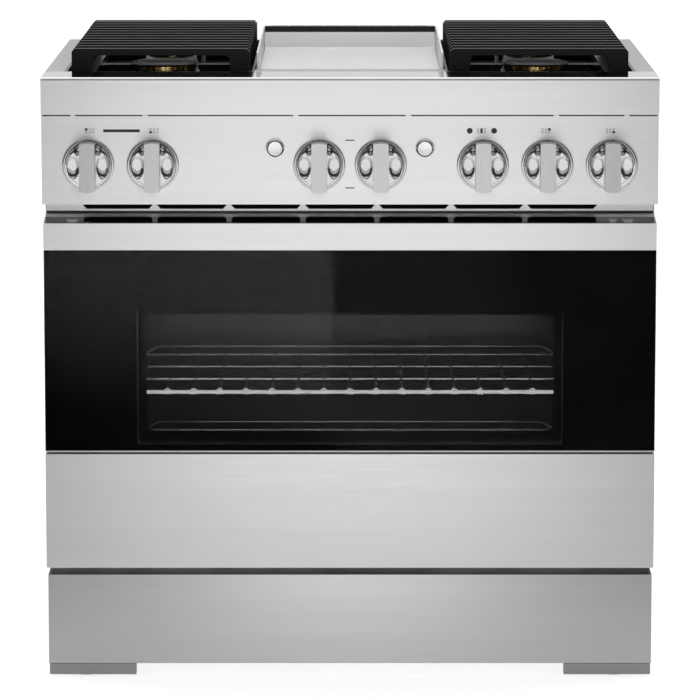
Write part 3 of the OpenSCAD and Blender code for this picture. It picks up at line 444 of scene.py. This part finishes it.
# %% Fascia with two finishes
def ledge_or_face(face):
    return 1 if face.normal.z > 0.7 else 0


softened("front_fascia", 0.6 * MM, [STEEL, POLISHED], segments=3, pick=ledge_or_face)
print("fascia folded, ledge polished")

# %% [markdown]
# ## Shapes made point by point
# Turned parts are a profile swept around an axis, and flat parts are an outline given
# thickness. These helpers add such a shape to a mesh under construction, so that one piece can
# be made of several shapes.

# %% Shape helpers
def depth(mm):
    """A y value, from millimetres behind the fascia's front face."""
    return FACE_Y + mm * MM


def turned(mesh, profile, at, axis="y", steps=72):
    """Sweeps (radius, distance) points around an axis through at. Radii and at in metres."""
    rows = []
    for radius, along in profile:
        row = []
        for i in range(steps):
            a = 2 * math.pi * i / steps
            u, v = radius * math.sin(a), radius * math.cos(a)
            spot = (at[0] + u, along, at[1] + v) if axis == "y" else (at[0] + u, at[1] + v, along)
            row.append(mesh.verts.new(spot))
        rows.append(row)
    for one, two in zip(rows, rows[1:]):
        for i in range(steps):
            j = (i + 1) % steps
            mesh.faces.new((one[i], one[j], two[j], two[i]))


def prism(mesh, outline, near, far):
    """Gives an outline of (x, z) points a thickness, from near to far along y."""
    front = [mesh.verts.new((x, near, z)) for x, z in outline]
    back = [mesh.verts.new((x, far, z)) for x, z in outline]
    mesh.faces.new(front)
    mesh.faces.new(list(reversed(back)))
    for i in range(len(outline)):
        j = (i + 1) % len(outline)
        mesh.faces.new((front[j], front[i], back[i], back[j]))


def plate(mesh, x, z, near, far):
    """A rectangular prism between two x values and two z values."""
    prism(mesh, [(x[0], z[0]), (x[1], z[0]), (x[1], z[1]), (x[0], z[1])], near, far)


def wire(mesh, points, radius, steps=10):
    """A round wire along a path of points, with mitred corners and closed ends."""
    rings = []
    points = [Vector(p) for p in points]
    for i, spot in enumerate(points):
        before = points[max(i - 1, 0)]
        after = points[min(i + 1, len(points) - 1)]
        way = (after - before).normalized()
        side = way.cross(Vector((0, 0, 1)))
        if side.length < 0.1:
            side = way.cross(Vector((1, 0, 0)))
        side.normalize()
        up = side.cross(way)
        rings.append([
            mesh.verts.new(spot + radius * (math.cos(a) * side + math.sin(a) * up))
            for a in (2 * math.pi * k / steps for k in range(steps))
        ])
    for one, two in zip(rings, rings[1:]):
        for k in range(steps):
            mesh.faces.new((one[k], one[(k + 1) % steps], two[(k + 1) % steps], two[k]))
    mesh.faces.new(rings[0])
    mesh.faces.new(list(reversed(rings[-1])))


def finished(mesh, name, node, finishes, angle=35.0, replaced=True, bevel=0.0):
    """Turns a mesh under construction into a placed piece."""
    bmesh.ops.remove_doubles(mesh, verts=mesh.verts, dist=0.000002)
    bmesh.ops.recalc_face_normals(mesh, faces=mesh.faces)
    data = bpy.data.meshes.new(name)
    mesh.to_mesh(data)
    mesh.free()
    piece = place(name, data, node, finishes)
    if bevel:
        rounded(piece, bevel)
    else:
        smooth(data, angle)
    if replaced:
        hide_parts(node)
    return piece


print("shape helpers ready")

# %% [markdown]
# ## Knobs
# Each knob is a plated casting with a brushed bar across it. Beside the bar there is a hollow
# for a fingertip. The casting's face is built as rings of points, and the depth of each point
# comes from one formula: a flat face, minus an oval bowl on each side, minus a small deep notch
# on each side of the bar's upper end, minus the round at the rim. Steep walls give plated knobs
# their dark outlines, because they mirror the dark sides of the room.

# %% Knob casting and grip
KNOB_FACE = depth(-13)
KNOB_BASE = hi("control_bezels")[1] - 1.4 * MM
GRIP_HALF = 11.5 * MM


def bowl(x, z, at, size, deep):
    """Depth of an oval bowl at a point, zero outside it. Its floor is nearly flat, its walls steep."""
    q = ((x - at[0]) / size[0]) ** 2 + ((z - at[1]) / size[1]) ** 2
    return deep * math.sqrt(1 - q * q) if q < 1 else 0.0


def knob_depth(x, z):
    """Depth of the casting's face behind its front, in millimetres, at (x, z)."""
    r = math.hypot(x, z)
    rim = max(0.0, (r - 28.5) / 5.5)
    return (bowl(abs(x), z, (22.0, 0.0), (9.4, 17.5), 3.5)
            + bowl(abs(x), z, (15.0, 25.0), (5.2, 9.0), 10.0)
            + 6.0 * (1 - math.sqrt(max(0.0, 1 - rim * rim))))


def make_knob(node):
    cx, _, cz = centre(node)
    mesh = bmesh.new()
    steps, rings = 144, 56
    rows = []
    for k in range(rings + 1):
        r = 34.0 * (k + 0.5) / (rings + 0.5) if k else 0.3
        row = []
        for i in range(steps):
            a = 2 * math.pi * i / steps
            x, z = r * math.sin(a), r * math.cos(a)
            row.append(mesh.verts.new((cx + x * MM, KNOB_FACE + knob_depth(x, z) * MM, cz + z * MM)))
        rows.append(row)
    for one, two in zip(rows, rows[1:]):
        for i in range(steps):
            j = (i + 1) % steps
            mesh.faces.new((one[i], one[j], two[j], two[i]))
    mesh.faces.new(rows[0])
    turned(mesh, [(34 * MM, KNOB_FACE + 6 * MM), (34 * MM, KNOB_BASE), (4 * MM, KNOB_BASE),
                  (4 * MM, hi(node)[1]), (0.1 * MM, hi(node)[1])], (cx, cz), steps=steps)
    finished(mesh, node + "_casting", node, [CHROME], angle=50.0)
    mesh = bmesh.new()
    arc = [math.asin(GRIP_HALF / (36.5 * MM)) * k / 6 for k in range(-6, 7)]
    top = [(36.5 * MM * math.sin(a), 36.5 * MM * math.cos(a)) for a in arc]
    outline = [(cx + x, cz + z) for x, z in top] + [(cx - x, cz - z) for x, z in top]
    prism(mesh, outline, lo(node)[1], KNOB_FACE + 4 * MM)
    grip = finished(mesh, node + "_grip", node, [GRIP_STEEL], bevel=0.3 * MM)


for node in KNOBS:
    make_knob(node)
print("knobs:", len(KNOBS))

# %% [markdown]
# ## Rings and push buttons
# A plated ring frames each knob, with a hollow round running down to the panel and a small
# index dot at its top. The buttons are turned from bar: their faces are dished by a few tenths
# of a millimetre and show the lathe's fine circles, which make a fan-shaped highlight.

# %% Rings and buttons
def spun_finish():
    """Fine circles around the y axis through the object's own origin."""
    mat, tree, shader = new_finish("spun_cap", grey(0.74), metallic=1.0, rough=0.2)
    rings = tree.nodes.new("ShaderNodeTexWave")
    rings.wave_type = "RINGS"
    rings.rings_direction = "Y"
    rings.inputs["Scale"].default_value = 420.0
    rings.inputs["Distortion"].default_value = 0.3
    tree.links.new(stretched(tree, (1.0, 1.0, 1.0)), rings.inputs["Vector"])
    tree.links.new(tint(tree, rings.outputs["Fac"], grey(0.60), grey(0.82)), shader.inputs["Base Color"])
    tree.links.new(remap(tree, rings.outputs["Fac"], 0.16, 0.26), shader.inputs["Roughness"])
    relief(tree, shader, rings.outputs["Fac"], 0.00003, 0.2)
    return mat


SPUN = spun_finish()
RING_FRONT = lo("control_bezels")[1]
mesh = bmesh.new()
for node in KNOBS:
    cx, _, cz = centre(node)
    turned(mesh, [(r * MM, RING_FRONT + f * MM) for r, f in (
        (34.6, 6.6), (34.6, 1.2), (35.0, 0.3), (36.0, 0.0), (37.0, 0.3), (38.0, 1.6), (38.4, 3.4),
        (38.5, 5.2), (38.5, 6.8), (34.6, 6.8))], (cx, cz), steps=128)
for node in BUTTONS:
    cx, _, cz = centre(node)
    turned(mesh, [(r * MM, PANEL_Y + f * MM) for r, f in (
        (11.6, 0.0), (11.6, -4.0), (12.0, -4.8), (12.7, -5.0), (13.6, -4.2), (14.0, -2.4), (14.0, 0.0))],
        (cx, cz), steps=96)
finished(mesh, "plated_rings", "control_bezels", [CHROME])

mesh = bmesh.new()
for node in KNOBS:
    cx, _, cz = centre(node)
    turned(mesh, [(0.55 * MM, RING_FRONT + 0.3 * MM), (0.55 * MM, RING_FRONT - 0.02 * MM),
                  (0.05 * MM, RING_FRONT - 0.02 * MM)], (cx, cz + 36.1 * MM), steps=16)
finished(mesh, "index_dots", "control_bezels", [INK_AND_GAP_SHADE], replaced=False)

for node in BUTTONS:
    cx, _, cz = centre(node)
    front = lo(node)[1]
    mesh = bmesh.new()
    turned(mesh, [(r * MM, front + f * MM) for r, f in (
        (0.05, 0.5), (3.0, 0.45), (6.0, 0.35), (9.0, 0.12), (10.2, 0.0), (10.8, 0.3), (11.0, 0.9), (11.0, 5.2))]
        + [(3.0 * MM, front + 5.2 * MM), (3.0 * MM, hi(node)[1]), (0.05 * MM, hi(node)[1])], (0.0, 0.0), steps=96)
    cap = finished(mesh, node + "_cap", node, [SPUN])
    for vert in cap.data.vertices:
        vert.co.y -= front
    cap.location = (cx, front, cz)
print("rings and buttons made")

# %% [markdown]
# ## Markings
# A small diagram over each burner knob shows the cooktop from above, with that knob's burner
# filled in. They are printed on steel: each mark is a film two tenths of a millimetre thick, in
# front of the panel. The marks carry no words.

# %% Printed marks
MARK_Z = centre(KNOBS[0])[2] + 50.5 * MM
MARK = (PANEL_Y - 0.2 * MM, PANEL_Y + 0.1 * MM)
grey_marks, black_marks = bmesh.new(), bmesh.new()


def mark(mesh, x, z, w, h):
    plate(mesh, (x - w / 2, x + w / 2), (z - h / 2, z + h / 2), *MARK)


def frame_mark(mesh, x, z, w, h, line):
    """The outline of a rectangle, drawn with four lines."""
    for side in (-1, 1):
        mark(mesh, x, z + side * (h - line) / 2, w, line)
        mark(mesh, x + side * (w - line) / 2, z, line, h - 2 * line)


LAYOUT = {
    "knob_rear_left": (-5.1, 2.1), "knob_front_left": (-5.1, -2.1), "knob_griddle": (0.0, 0.0),
    "knob_rear_right": (5.1, 2.1), "knob_front_right": (5.1, -2.1),
}
for node, chosen in LAYOUT.items():
    cx = centre(node)[0] + (2.0 if centre(node)[0] < 0 else -2.0) * MM
    for spot in ((-5.1, 2.1), (-5.1, -2.1), (5.1, 2.1), (5.1, -2.1), (0.0, 0.0)):
        size = (2.6, 6.4) if spot == (0.0, 0.0) else (3.2, 2.6)
        x, z = cx + spot[0] * MM, MARK_Z + spot[1] * MM
        if spot == chosen:
            mark(black_marks, x, z, (size[0] + 0.8) * MM, (size[1] + 0.8) * MM)
        else:
            frame_mark(grey_marks, x, z, size[0] * MM, size[1] * MM, 0.55 * MM)
between = (centre("knob_rear_left")[0] + centre("knob_front_left")[0]) / 2
mark(black_marks, between + 1.5 * MM, MARK_Z, 54 * MM, 4.2 * MM)
for side in (-1, 1):
    x = centre("knob_griddle")[0] + (side * 18.0 - 1.4) * MM
    turned(black_marks, [(4.3 * MM, MARK[1]), (4.3 * MM, MARK[0]), (0.02 * MM, MARK[0])], (x, MARK_Z), steps=32)
for z in (36.5 * MM, -34.2 * MM):
    mark(black_marks, 0.0, centre(KNOBS[0])[2] + z, 13.7 * MM, 1.6 * MM)
finished(grey_marks, "grey_marks", "control_panel", [GREY_INK], replaced=False)
finished(black_marks, "black_marks", "control_panel", [INK_AND_GAP_SHADE], replaced=False)
print("marks printed at height", round(MARK_Z, 4))

# %% [markdown]
# ## Black print behind the glass
# The pane is clear but tinted. The print on its back hides the door's pan and leaves the
# window free. It sits a tenth of a millimetre behind the pane and rides with the door.

# %% Window print
pane_lo, pane_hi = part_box("door_glass")
window_lo, window_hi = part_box("door_inner_glass")
mesh = bmesh.new()
back = (pane_hi[1] + 0.1 * MM, pane_hi[1] + 0.4 * MM)
plate(mesh, (pane_lo[0], window_lo[0]), (pane_lo[2], pane_hi[2]), *back)
plate(mesh, (window_hi[0], pane_hi[0]), (pane_lo[2], pane_hi[2]), *back)
plate(mesh, (window_lo[0], window_hi[0]), (pane_lo[2], window_lo[2]), *back)
plate(mesh, (window_lo[0], window_hi[0]), (window_hi[2], pane_hi[2]), *back)
print_sheet = finished(mesh, "window_print", "door_glass", [BACK_PRINT_AND_VENT_SHADE], replaced=False)
print("window", [round(v, 3) for v in window_lo], "to", [round(v, 3) for v in window_hi])

# %% [markdown]
# ## The door's top and the vent
# The front half of the door's sloping top is covered by a glossy black strip, a painted dark
# reflection on the steel. Behind it the steel is left bright, so it mirrors the vent rail. Two
# small bright plates sit over the hinges, and a black plate behind the vent's slots is painted shade.

# %% Painted reflection strip, plates and painted vent shade
band_hi = hi("door_top_band")
SLOPE = 9.5 / 58.5


def on_slope(f_mm, lift_mm):
    """A (y, z) point above the sloping top, from its distance behind the fascia's front."""
    back = band_hi[1] - depth(f_mm)
    return depth(f_mm), band_hi[2] - back * SLOPE + lift_mm * MM


def slope_strip(mesh, x0, x1, f0, f1, low, high):
    """A thin strip that lies on the slope. Its front edge may be shorter than its rear edge."""
    corners = []
    for lift in (low, high):
        (y0, z0), (y1, z1) = on_slope(f0, lift), on_slope(f1, lift)
        corners.append([mesh.verts.new(p) for p in (
            (x0[0], y0, z0), (x0[1], y0, z0), (x1[1], y1, z1), (x1[0], y1, z1))])
    below, above = corners
    mesh.faces.new(above)
    mesh.faces.new(list(reversed(below)))
    for i in range(4):
        j = (i + 1) % 4
        mesh.faces.new((below[i], below[j], above[j], above[i]))


# The black strip is a painted dark reflection on the front half of the steel top.
mesh = bmesh.new()
edge = band_hi[0] - 1.0 * MM
slope_strip(mesh, (-edge, edge), (-edge, edge), 32.0, 64.0, 0.02, 0.35)
trim = finished(mesh, "door_top_painted_reflection", "door_top_band", [DARK_REFLECTION_BLACK], replaced=False)
mesh = bmesh.new()
for side in (-1, 1):
    for x0, x1 in ((384, 397), (404, 422)):
        slope_strip(mesh, sorted((side * (x0 + 3) * MM, side * (x1 - 3) * MM)),
                    sorted((side * x0 * MM, side * x1 * MM)), 33.0, 50.0, 0.3, 0.6)
finished(mesh, "hinge_plates", "door_top_band", [POLISHED], replaced=False)

# A black plate behind the vent rail's slots is painted shade: it darkens the space seen through them.
mesh = bmesh.new()
rail_lo, rail_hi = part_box("vent_rail")
plate(mesh, (rail_lo[0] + 2 * MM, rail_hi[0] - 2 * MM), (rail_lo[2] + 1.0 * MM, rail_hi[2] - 0.5 * MM),
      rail_hi[1] + 0.4 * MM, rail_hi[1] + 0.9 * MM)
shade = finished(mesh, "vent_painted_shade", "vent_rail", [BACK_PRINT_AND_VENT_SHADE], replaced=False)
print("door trim and vent shade ready")

# %% [markdown]
# ## Oven racks
# A rack is welded from round wire. The thick rods of its frame come first. The thin wires lie
# across them from front to back, and each hooks down over the front rod with a small clip. A
# raised wire behind keeps pans off the rear wall. All of it is swept along paths of points.

# %% Wire racks
RACK_ROD, RACK_WIRE = 3.2 * MM, 2.0 * MM
WIRES, WIRE_PITCH = 17, 39.3 * MM


def make_rack(node):
    low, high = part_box(node)
    z = low[2] + 3.8 * MM
    side = high[0] - RACK_ROD
    front, back = low[1] + 3.8 * MM, high[1] - 5.0 * MM
    lift = RACK_ROD + RACK_WIRE - 0.8 * MM
    mesh = bmesh.new()
    for x in (-side, side):
        wire(mesh, [(x, front - RACK_ROD, z), (x, back + RACK_ROD, z)], RACK_ROD, 16)
    wire(mesh, [(-side, front, z), (side, front, z)], RACK_ROD + 0.6 * MM, 20)
    for share in (1 / 3, 2 / 3, 1):
        y = front + (back - front) * share
        wire(mesh, [(-side, y, z), (side, y, z)], RACK_ROD - 0.3 * MM, 12)
    stop = back + 2.8 * MM
    wire(mesh, [(-side, stop, z), (-side + 24 * MM, stop, z + 13 * MM),
                (side - 24 * MM, stop, z + 13 * MM), (side, stop, z)], RACK_WIRE, 12)
    for k in range(WIRES):
        x = (k - (WIRES - 1) / 2) * WIRE_PITCH
        wire(mesh, [(x, front, z + lift), (x, back + 3 * MM, z + lift)], RACK_WIRE, 10)
    finished(mesh, node + "_wires", node, [RACK_CHROME], angle=60.0)
    mesh = bmesh.new()
    for k in range(0, WIRES):
        x = (k - (WIRES - 1) / 2) * WIRE_PITCH
        for dx in (-2.6 * MM, 2.6 * MM):
            plate(mesh, (x + dx - 1.5 * MM, x + dx + 1.5 * MM), (z - 3.6 * MM, z + 5.6 * MM),
                  low[1] + 0.02 * MM, low[1] + 2.0 * MM)
    finished(mesh, node + "_clips", node, [RACK_CHROME], replaced=False, bevel=0.4 * MM)


for node in ("rack_top", "rack_middle", "rack_bottom"):
    make_rack(node)
print("racks:", 3)

# %% [markdown]
# ## Burner caps
# The cap is a pressed disc with a rolled edge, enamelled black. It overhangs the brass ring,
# so from the front the ring glows in its shade. Each cap is turned with a soft dome.

# %% Burner caps
cap_lo, cap_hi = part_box("burner_caps")
cap_r = 50 * MM
cap_x = cap_hi[0] - cap_r
cap_ys = (cap_lo[1] + cap_r, cap_hi[1] - cap_r)
mesh = bmesh.new()
for x in (-cap_x, cap_x):
    for y in cap_ys:
        turned(mesh, [(r * MM, cap_hi[2] + z * MM) for r, z in (
            (0.05, 0.0), (20, -0.1), (36, -0.4), (41.5, -0.9), (43.0, -1.6), (44.6, -2.0), (47.5, -2.5),
            (49.3, -3.4), (50.0, -4.6), (49.3, -5.9), (47.0, -6.5), (23.5, -6.5), (23.5, -17.8), (0.05, -17.8))],
            (x, y), axis="z", steps=96)
finished(mesh, "burner_caps_turned", "burner_caps", [CAP_ENAMEL])
print("caps at", round(cap_x, 4), [round(y, 4) for y in cap_ys])

# %% [markdown]
# ## Painted shade under the fascia
# The fascia's return rests on the panel. The dark line along that join is painted shade: a thin
# black strip in short lengths with gaps, just under the fascia's lower edge.

# %% Painted shade strip
mesh = bmesh.new()
seam_z = lo("front_fascia")[2]
gap_shade_spans = [(-453, -412), (-405, -306), (-298, -84), (-76, 82), (90, 300), (308, 404), (412, 453)]
for x0, x1 in gap_shade_spans:
    plate(mesh, (x0 * MM, x1 * MM), (seam_z - 2.2 * MM, seam_z - 0.1 * MM), depth(4), depth(9.9))
strip = finished(mesh, "fascia_gap_painted_shade", "front_fascia", [INK_AND_GAP_SHADE], replaced=False)
print("seal lengths:", len(gap_shade_spans))

# %% [markdown]
# ## Studio
# The floor is pale and the room behind the range is white. In front the room is dimmer, with
# two tall soft boxes that face the range, a wide one and a narrow one. Together they light the
# steel most in the middle and less towards its sides. The room's dark sides draw the thin dark
# lines on everything plated.

# %% Floor and room
scene = bpy.context.scene
scene.view_settings.view_transform = "Standard"


def stage_material(name, value, glow, fades=None):
    """A plain pale surface. A little light of its own stands for the light of a big studio.
    fades holds the two y values between which that light comes up."""
    mat, tree, shader = new_finish(name, grey(value), rough=0.9, Specular_IOR_Level=0.1)
    speck = noise(tree, (3.0, 3.0, 3.0), 2.0)
    tree.links.new(tint(tree, speck, grey(value * 0.99), grey(value)), shader.inputs["Base Color"])
    shader.inputs["Emission Color"].default_value = (1.0, 1.0, 1.0, 1.0)
    shader.inputs["Emission Strength"].default_value = glow
    if fades:
        coords = tree.nodes.new("ShaderNodeTexCoord")
        parts = tree.nodes.new("ShaderNodeSeparateXYZ")
        tree.links.new(coords.outputs["Object"], parts.inputs["Vector"])
        lit = remap(tree, parts.outputs["Y"], 0.0, glow, fades)
        tree.links.new(lit, shader.inputs["Emission Strength"])
    return mat


mesh = bmesh.new()
bmesh.ops.create_grid(mesh, x_segments=1, y_segments=1, size=14.0)
floor_data = bpy.data.meshes.new("studio_floor")
mesh.to_mesh(floor_data)
mesh.free()
floor = bpy.data.objects.new("studio_floor", floor_data)
scene.collection.objects.link(floor)
floor_data.materials.append(stage_material("pale_floor", 0.80, 0.68, (-0.80, -0.60)))

world = bpy.data.worlds.new("studio_air")
world.use_nodes = True
air = world.node_tree
air.nodes["Background"].inputs["Color"].default_value = (1.0, 1.0, 1.0, 1.0)
facing = air.nodes.new("ShaderNodeTexCoord")
parts = air.nodes.new("ShaderNodeSeparateXYZ")
air.links.new(facing.outputs["Generated"], parts.inputs["Vector"])
behind = remap(air, parts.outputs["Y"], 0.0, 1.0, (-0.05, 0.30))
above = remap(air, parts.outputs["Z"], 0.0, 0.7, (0.55, 0.95))
front = remap(air, parts.outputs["Y"], 0.04, 0.03, (-0.55, -0.95))
brightest = air.nodes.new("ShaderNodeMath")
brightest.operation = "MAXIMUM"
air.links.new(behind, brightest.inputs[0])
air.links.new(above, brightest.inputs[1])
level = air.nodes.new("ShaderNodeMath")
level.operation = "MAXIMUM"
air.links.new(brightest.outputs["Value"], level.inputs[0])
air.links.new(front, level.inputs[1])
air.links.new(level.outputs["Value"], air.nodes["Background"].inputs["Strength"])
scene.world = world
print("floor and room ready")

# %% [markdown]
# ## Lights
# A soft box is a big glowing rectangle, and metal shows it as a broad, gentle highlight. A few
# boxes reach only chosen pieces, as shades on studio lamps would do: the pane gets two of its
# own, so that its reflection can fade from left to right without changing the steel.

# %% Lights
def soft_light(name, place_at, look_at, size, power, only=(), skip=()):
    """A rectangular soft box that the camera can't see. It may light or skip some pieces."""
    data = bpy.data.lights.new(name, "AREA")
    data.shape = "RECTANGLE"
    data.size, data.size_y = size
    data.energy = power
    lamp = bpy.data.objects.new(name, data)
    scene.collection.objects.link(lamp)
    lamp.location = place_at
    aim = Vector(look_at) - Vector(place_at)
    lamp.rotation_euler = aim.to_track_quat("-Z", "Y").to_euler()
    lamp.visible_camera = False
    if only or skip:
        group = bpy.data.collections.new(name + "_list")
        for obj in [*only, *skip]:
            group.objects.link(obj)
        for entry in group.collection_objects:
            entry.light_linking.link_state = "INCLUDE" if only else "EXCLUDE"
        lamp.light_linking.receiver_collection = group
    return lamp


def graded(lamp, bright, edge, rise=None):
    """Makes a soft box brightest at one side, 0 or 1, and fall to edge at the other. rise holds
    the two heights, as shares, between which it comes up from nothing."""
    lamp.data.use_nodes = True
    tree = lamp.data.node_tree
    across = tree.nodes.new("ShaderNodeNewGeometry")
    split = tree.nodes.new("ShaderNodeSeparateXYZ")
    tree.links.new(across.outputs["Parametric"], split.inputs["Vector"])
    away = tree.nodes.new("ShaderNodeMath")
    away.operation = "SUBTRACT"
    tree.links.new(split.outputs["X"], away.inputs[0])
    away.inputs[1].default_value = bright
    distance = tree.nodes.new("ShaderNodeMath")
    distance.operation = "ABSOLUTE"
    tree.links.new(away.outputs["Value"], distance.inputs[0])
    strength = remap(tree, distance.outputs["Value"], 1.0, edge, (0.0, 1.0))
    if rise:
        climb = tree.nodes.new("ShaderNodeMath")
        climb.operation = "MULTIPLY"
        tree.links.new(strength, climb.inputs[0])
        tree.links.new(remap(tree, split.outputs["Y"], 0.0, 1.0, rise), climb.inputs[1])
        strength = climb.outputs["Value"]
    tree.links.new(strength, tree.nodes["Emission"].inputs["Strength"])


pane = nodes["door_glass"]
plated = [o for o in scene.objects if o.name.endswith("_casting")] + [bpy.data.objects["plated_rings"]]
soft_light("wide_box", (0.0, -1.95, 0.75), (0.0, 0.0, 0.75), (0.9, 1.5), 3.0, skip=[pane, *plated])
soft_light("narrow_box", (0.0, -1.95, 0.75), (0.0, 0.0, 0.75), (0.35, 1.5), 7.2, skip=[pane, *plated])
soft_light("knob_box", (0.0, -1.95, 0.62), (0.0, 0.0, 0.62), (1.9, 0.8), 1.9, only=plated)
soft_light("top_box", (0.0, 0.6, 3.0), (0.0, 0.0, 0.9), (2.4, 2.0), 14.0)
glass_right = soft_light("glass_right", (0.30, -1.54, 0.30), (0.30, 0.0, 0.30), (0.66, 0.9), 10.0, only=[pane])
glass_left = soft_light("glass_left", (-0.17, -1.54, 0.40), (-0.17, 0.0, 0.40), (0.86, 0.6), 50.0, only=[pane])
glass_left.rotation_euler.rotate_axis("Z", math.radians(-10.0))
graded(glass_right, 0.0, 0.05)
graded(glass_left, 1.0, 0.45, (0.11, 0.49))
low_faces = [bpy.data.objects[n + "_soft"] for n in ("kick_panel", "leg_covers", "door_lower_panel")]
soft_light("low_box", (0.0, -1.70, 0.22), (0.0, 0.0, 0.20), (0.60, 0.40), 0.9, only=low_faces)
soft_light("kick_box", (0.0, -1.15, 0.10), (0.0, 0.0, 0.14), (0.40, 0.25), 0.9, only=low_faces[:1])
griddle_walls = [bpy.data.objects["griddle_surround_soft"]]
soft_light("griddle_box", (0.0, -0.50, 1.15), (0.0, 0.3, 0.92), (0.3, 0.2), 1.5, only=griddle_walls)
brass_rings = [bpy.data.objects["burner_rings_soft"]]
soft_light("brass_box", (0.0, -1.60, 1.00), (0.0, 0.0, 0.90), (1.2, 0.3), 6.0, only=brass_rings)
soft_light("oven_light", (0.0, depth(96), 0.47), (0.0, 1.0, 0.47), (0.62, 0.18), 1.2)

# %% [markdown]
# ## Camera
# A long lens from far away keeps the front nearly free of perspective. The camera stands above
# the cooktop and tilts down, so the deck shows a little. All of its numbers are lengths in
# metres, and the lens follows from how much of the frame the range should fill.

# %% Camera
CAMERA_HEIGHT = 1.4918
CAMERA_AWAY = 6.5945
CAMERA_TILT = math.radians(8.497)
FOCAL_SHARE = 6.4206
camera_data = bpy.data.cameras.new("front_camera")
camera_data.sensor_width = 36.0
camera_data.lens = 36.0 * FOCAL_SHARE
camera_data.clip_end = 60.0
camera = bpy.data.objects.new("front_camera", camera_data)
scene.collection.objects.link(camera)
camera.location = (0.0, FACE_Y - CAMERA_AWAY, CAMERA_HEIGHT)
camera.rotation_euler = (math.radians(90.0) - CAMERA_TILT, 0.0, 0.0)
scene.camera = camera
print("camera", tuple(round(c, 3) for c in camera.location), "lens", round(camera_data.lens, 1))
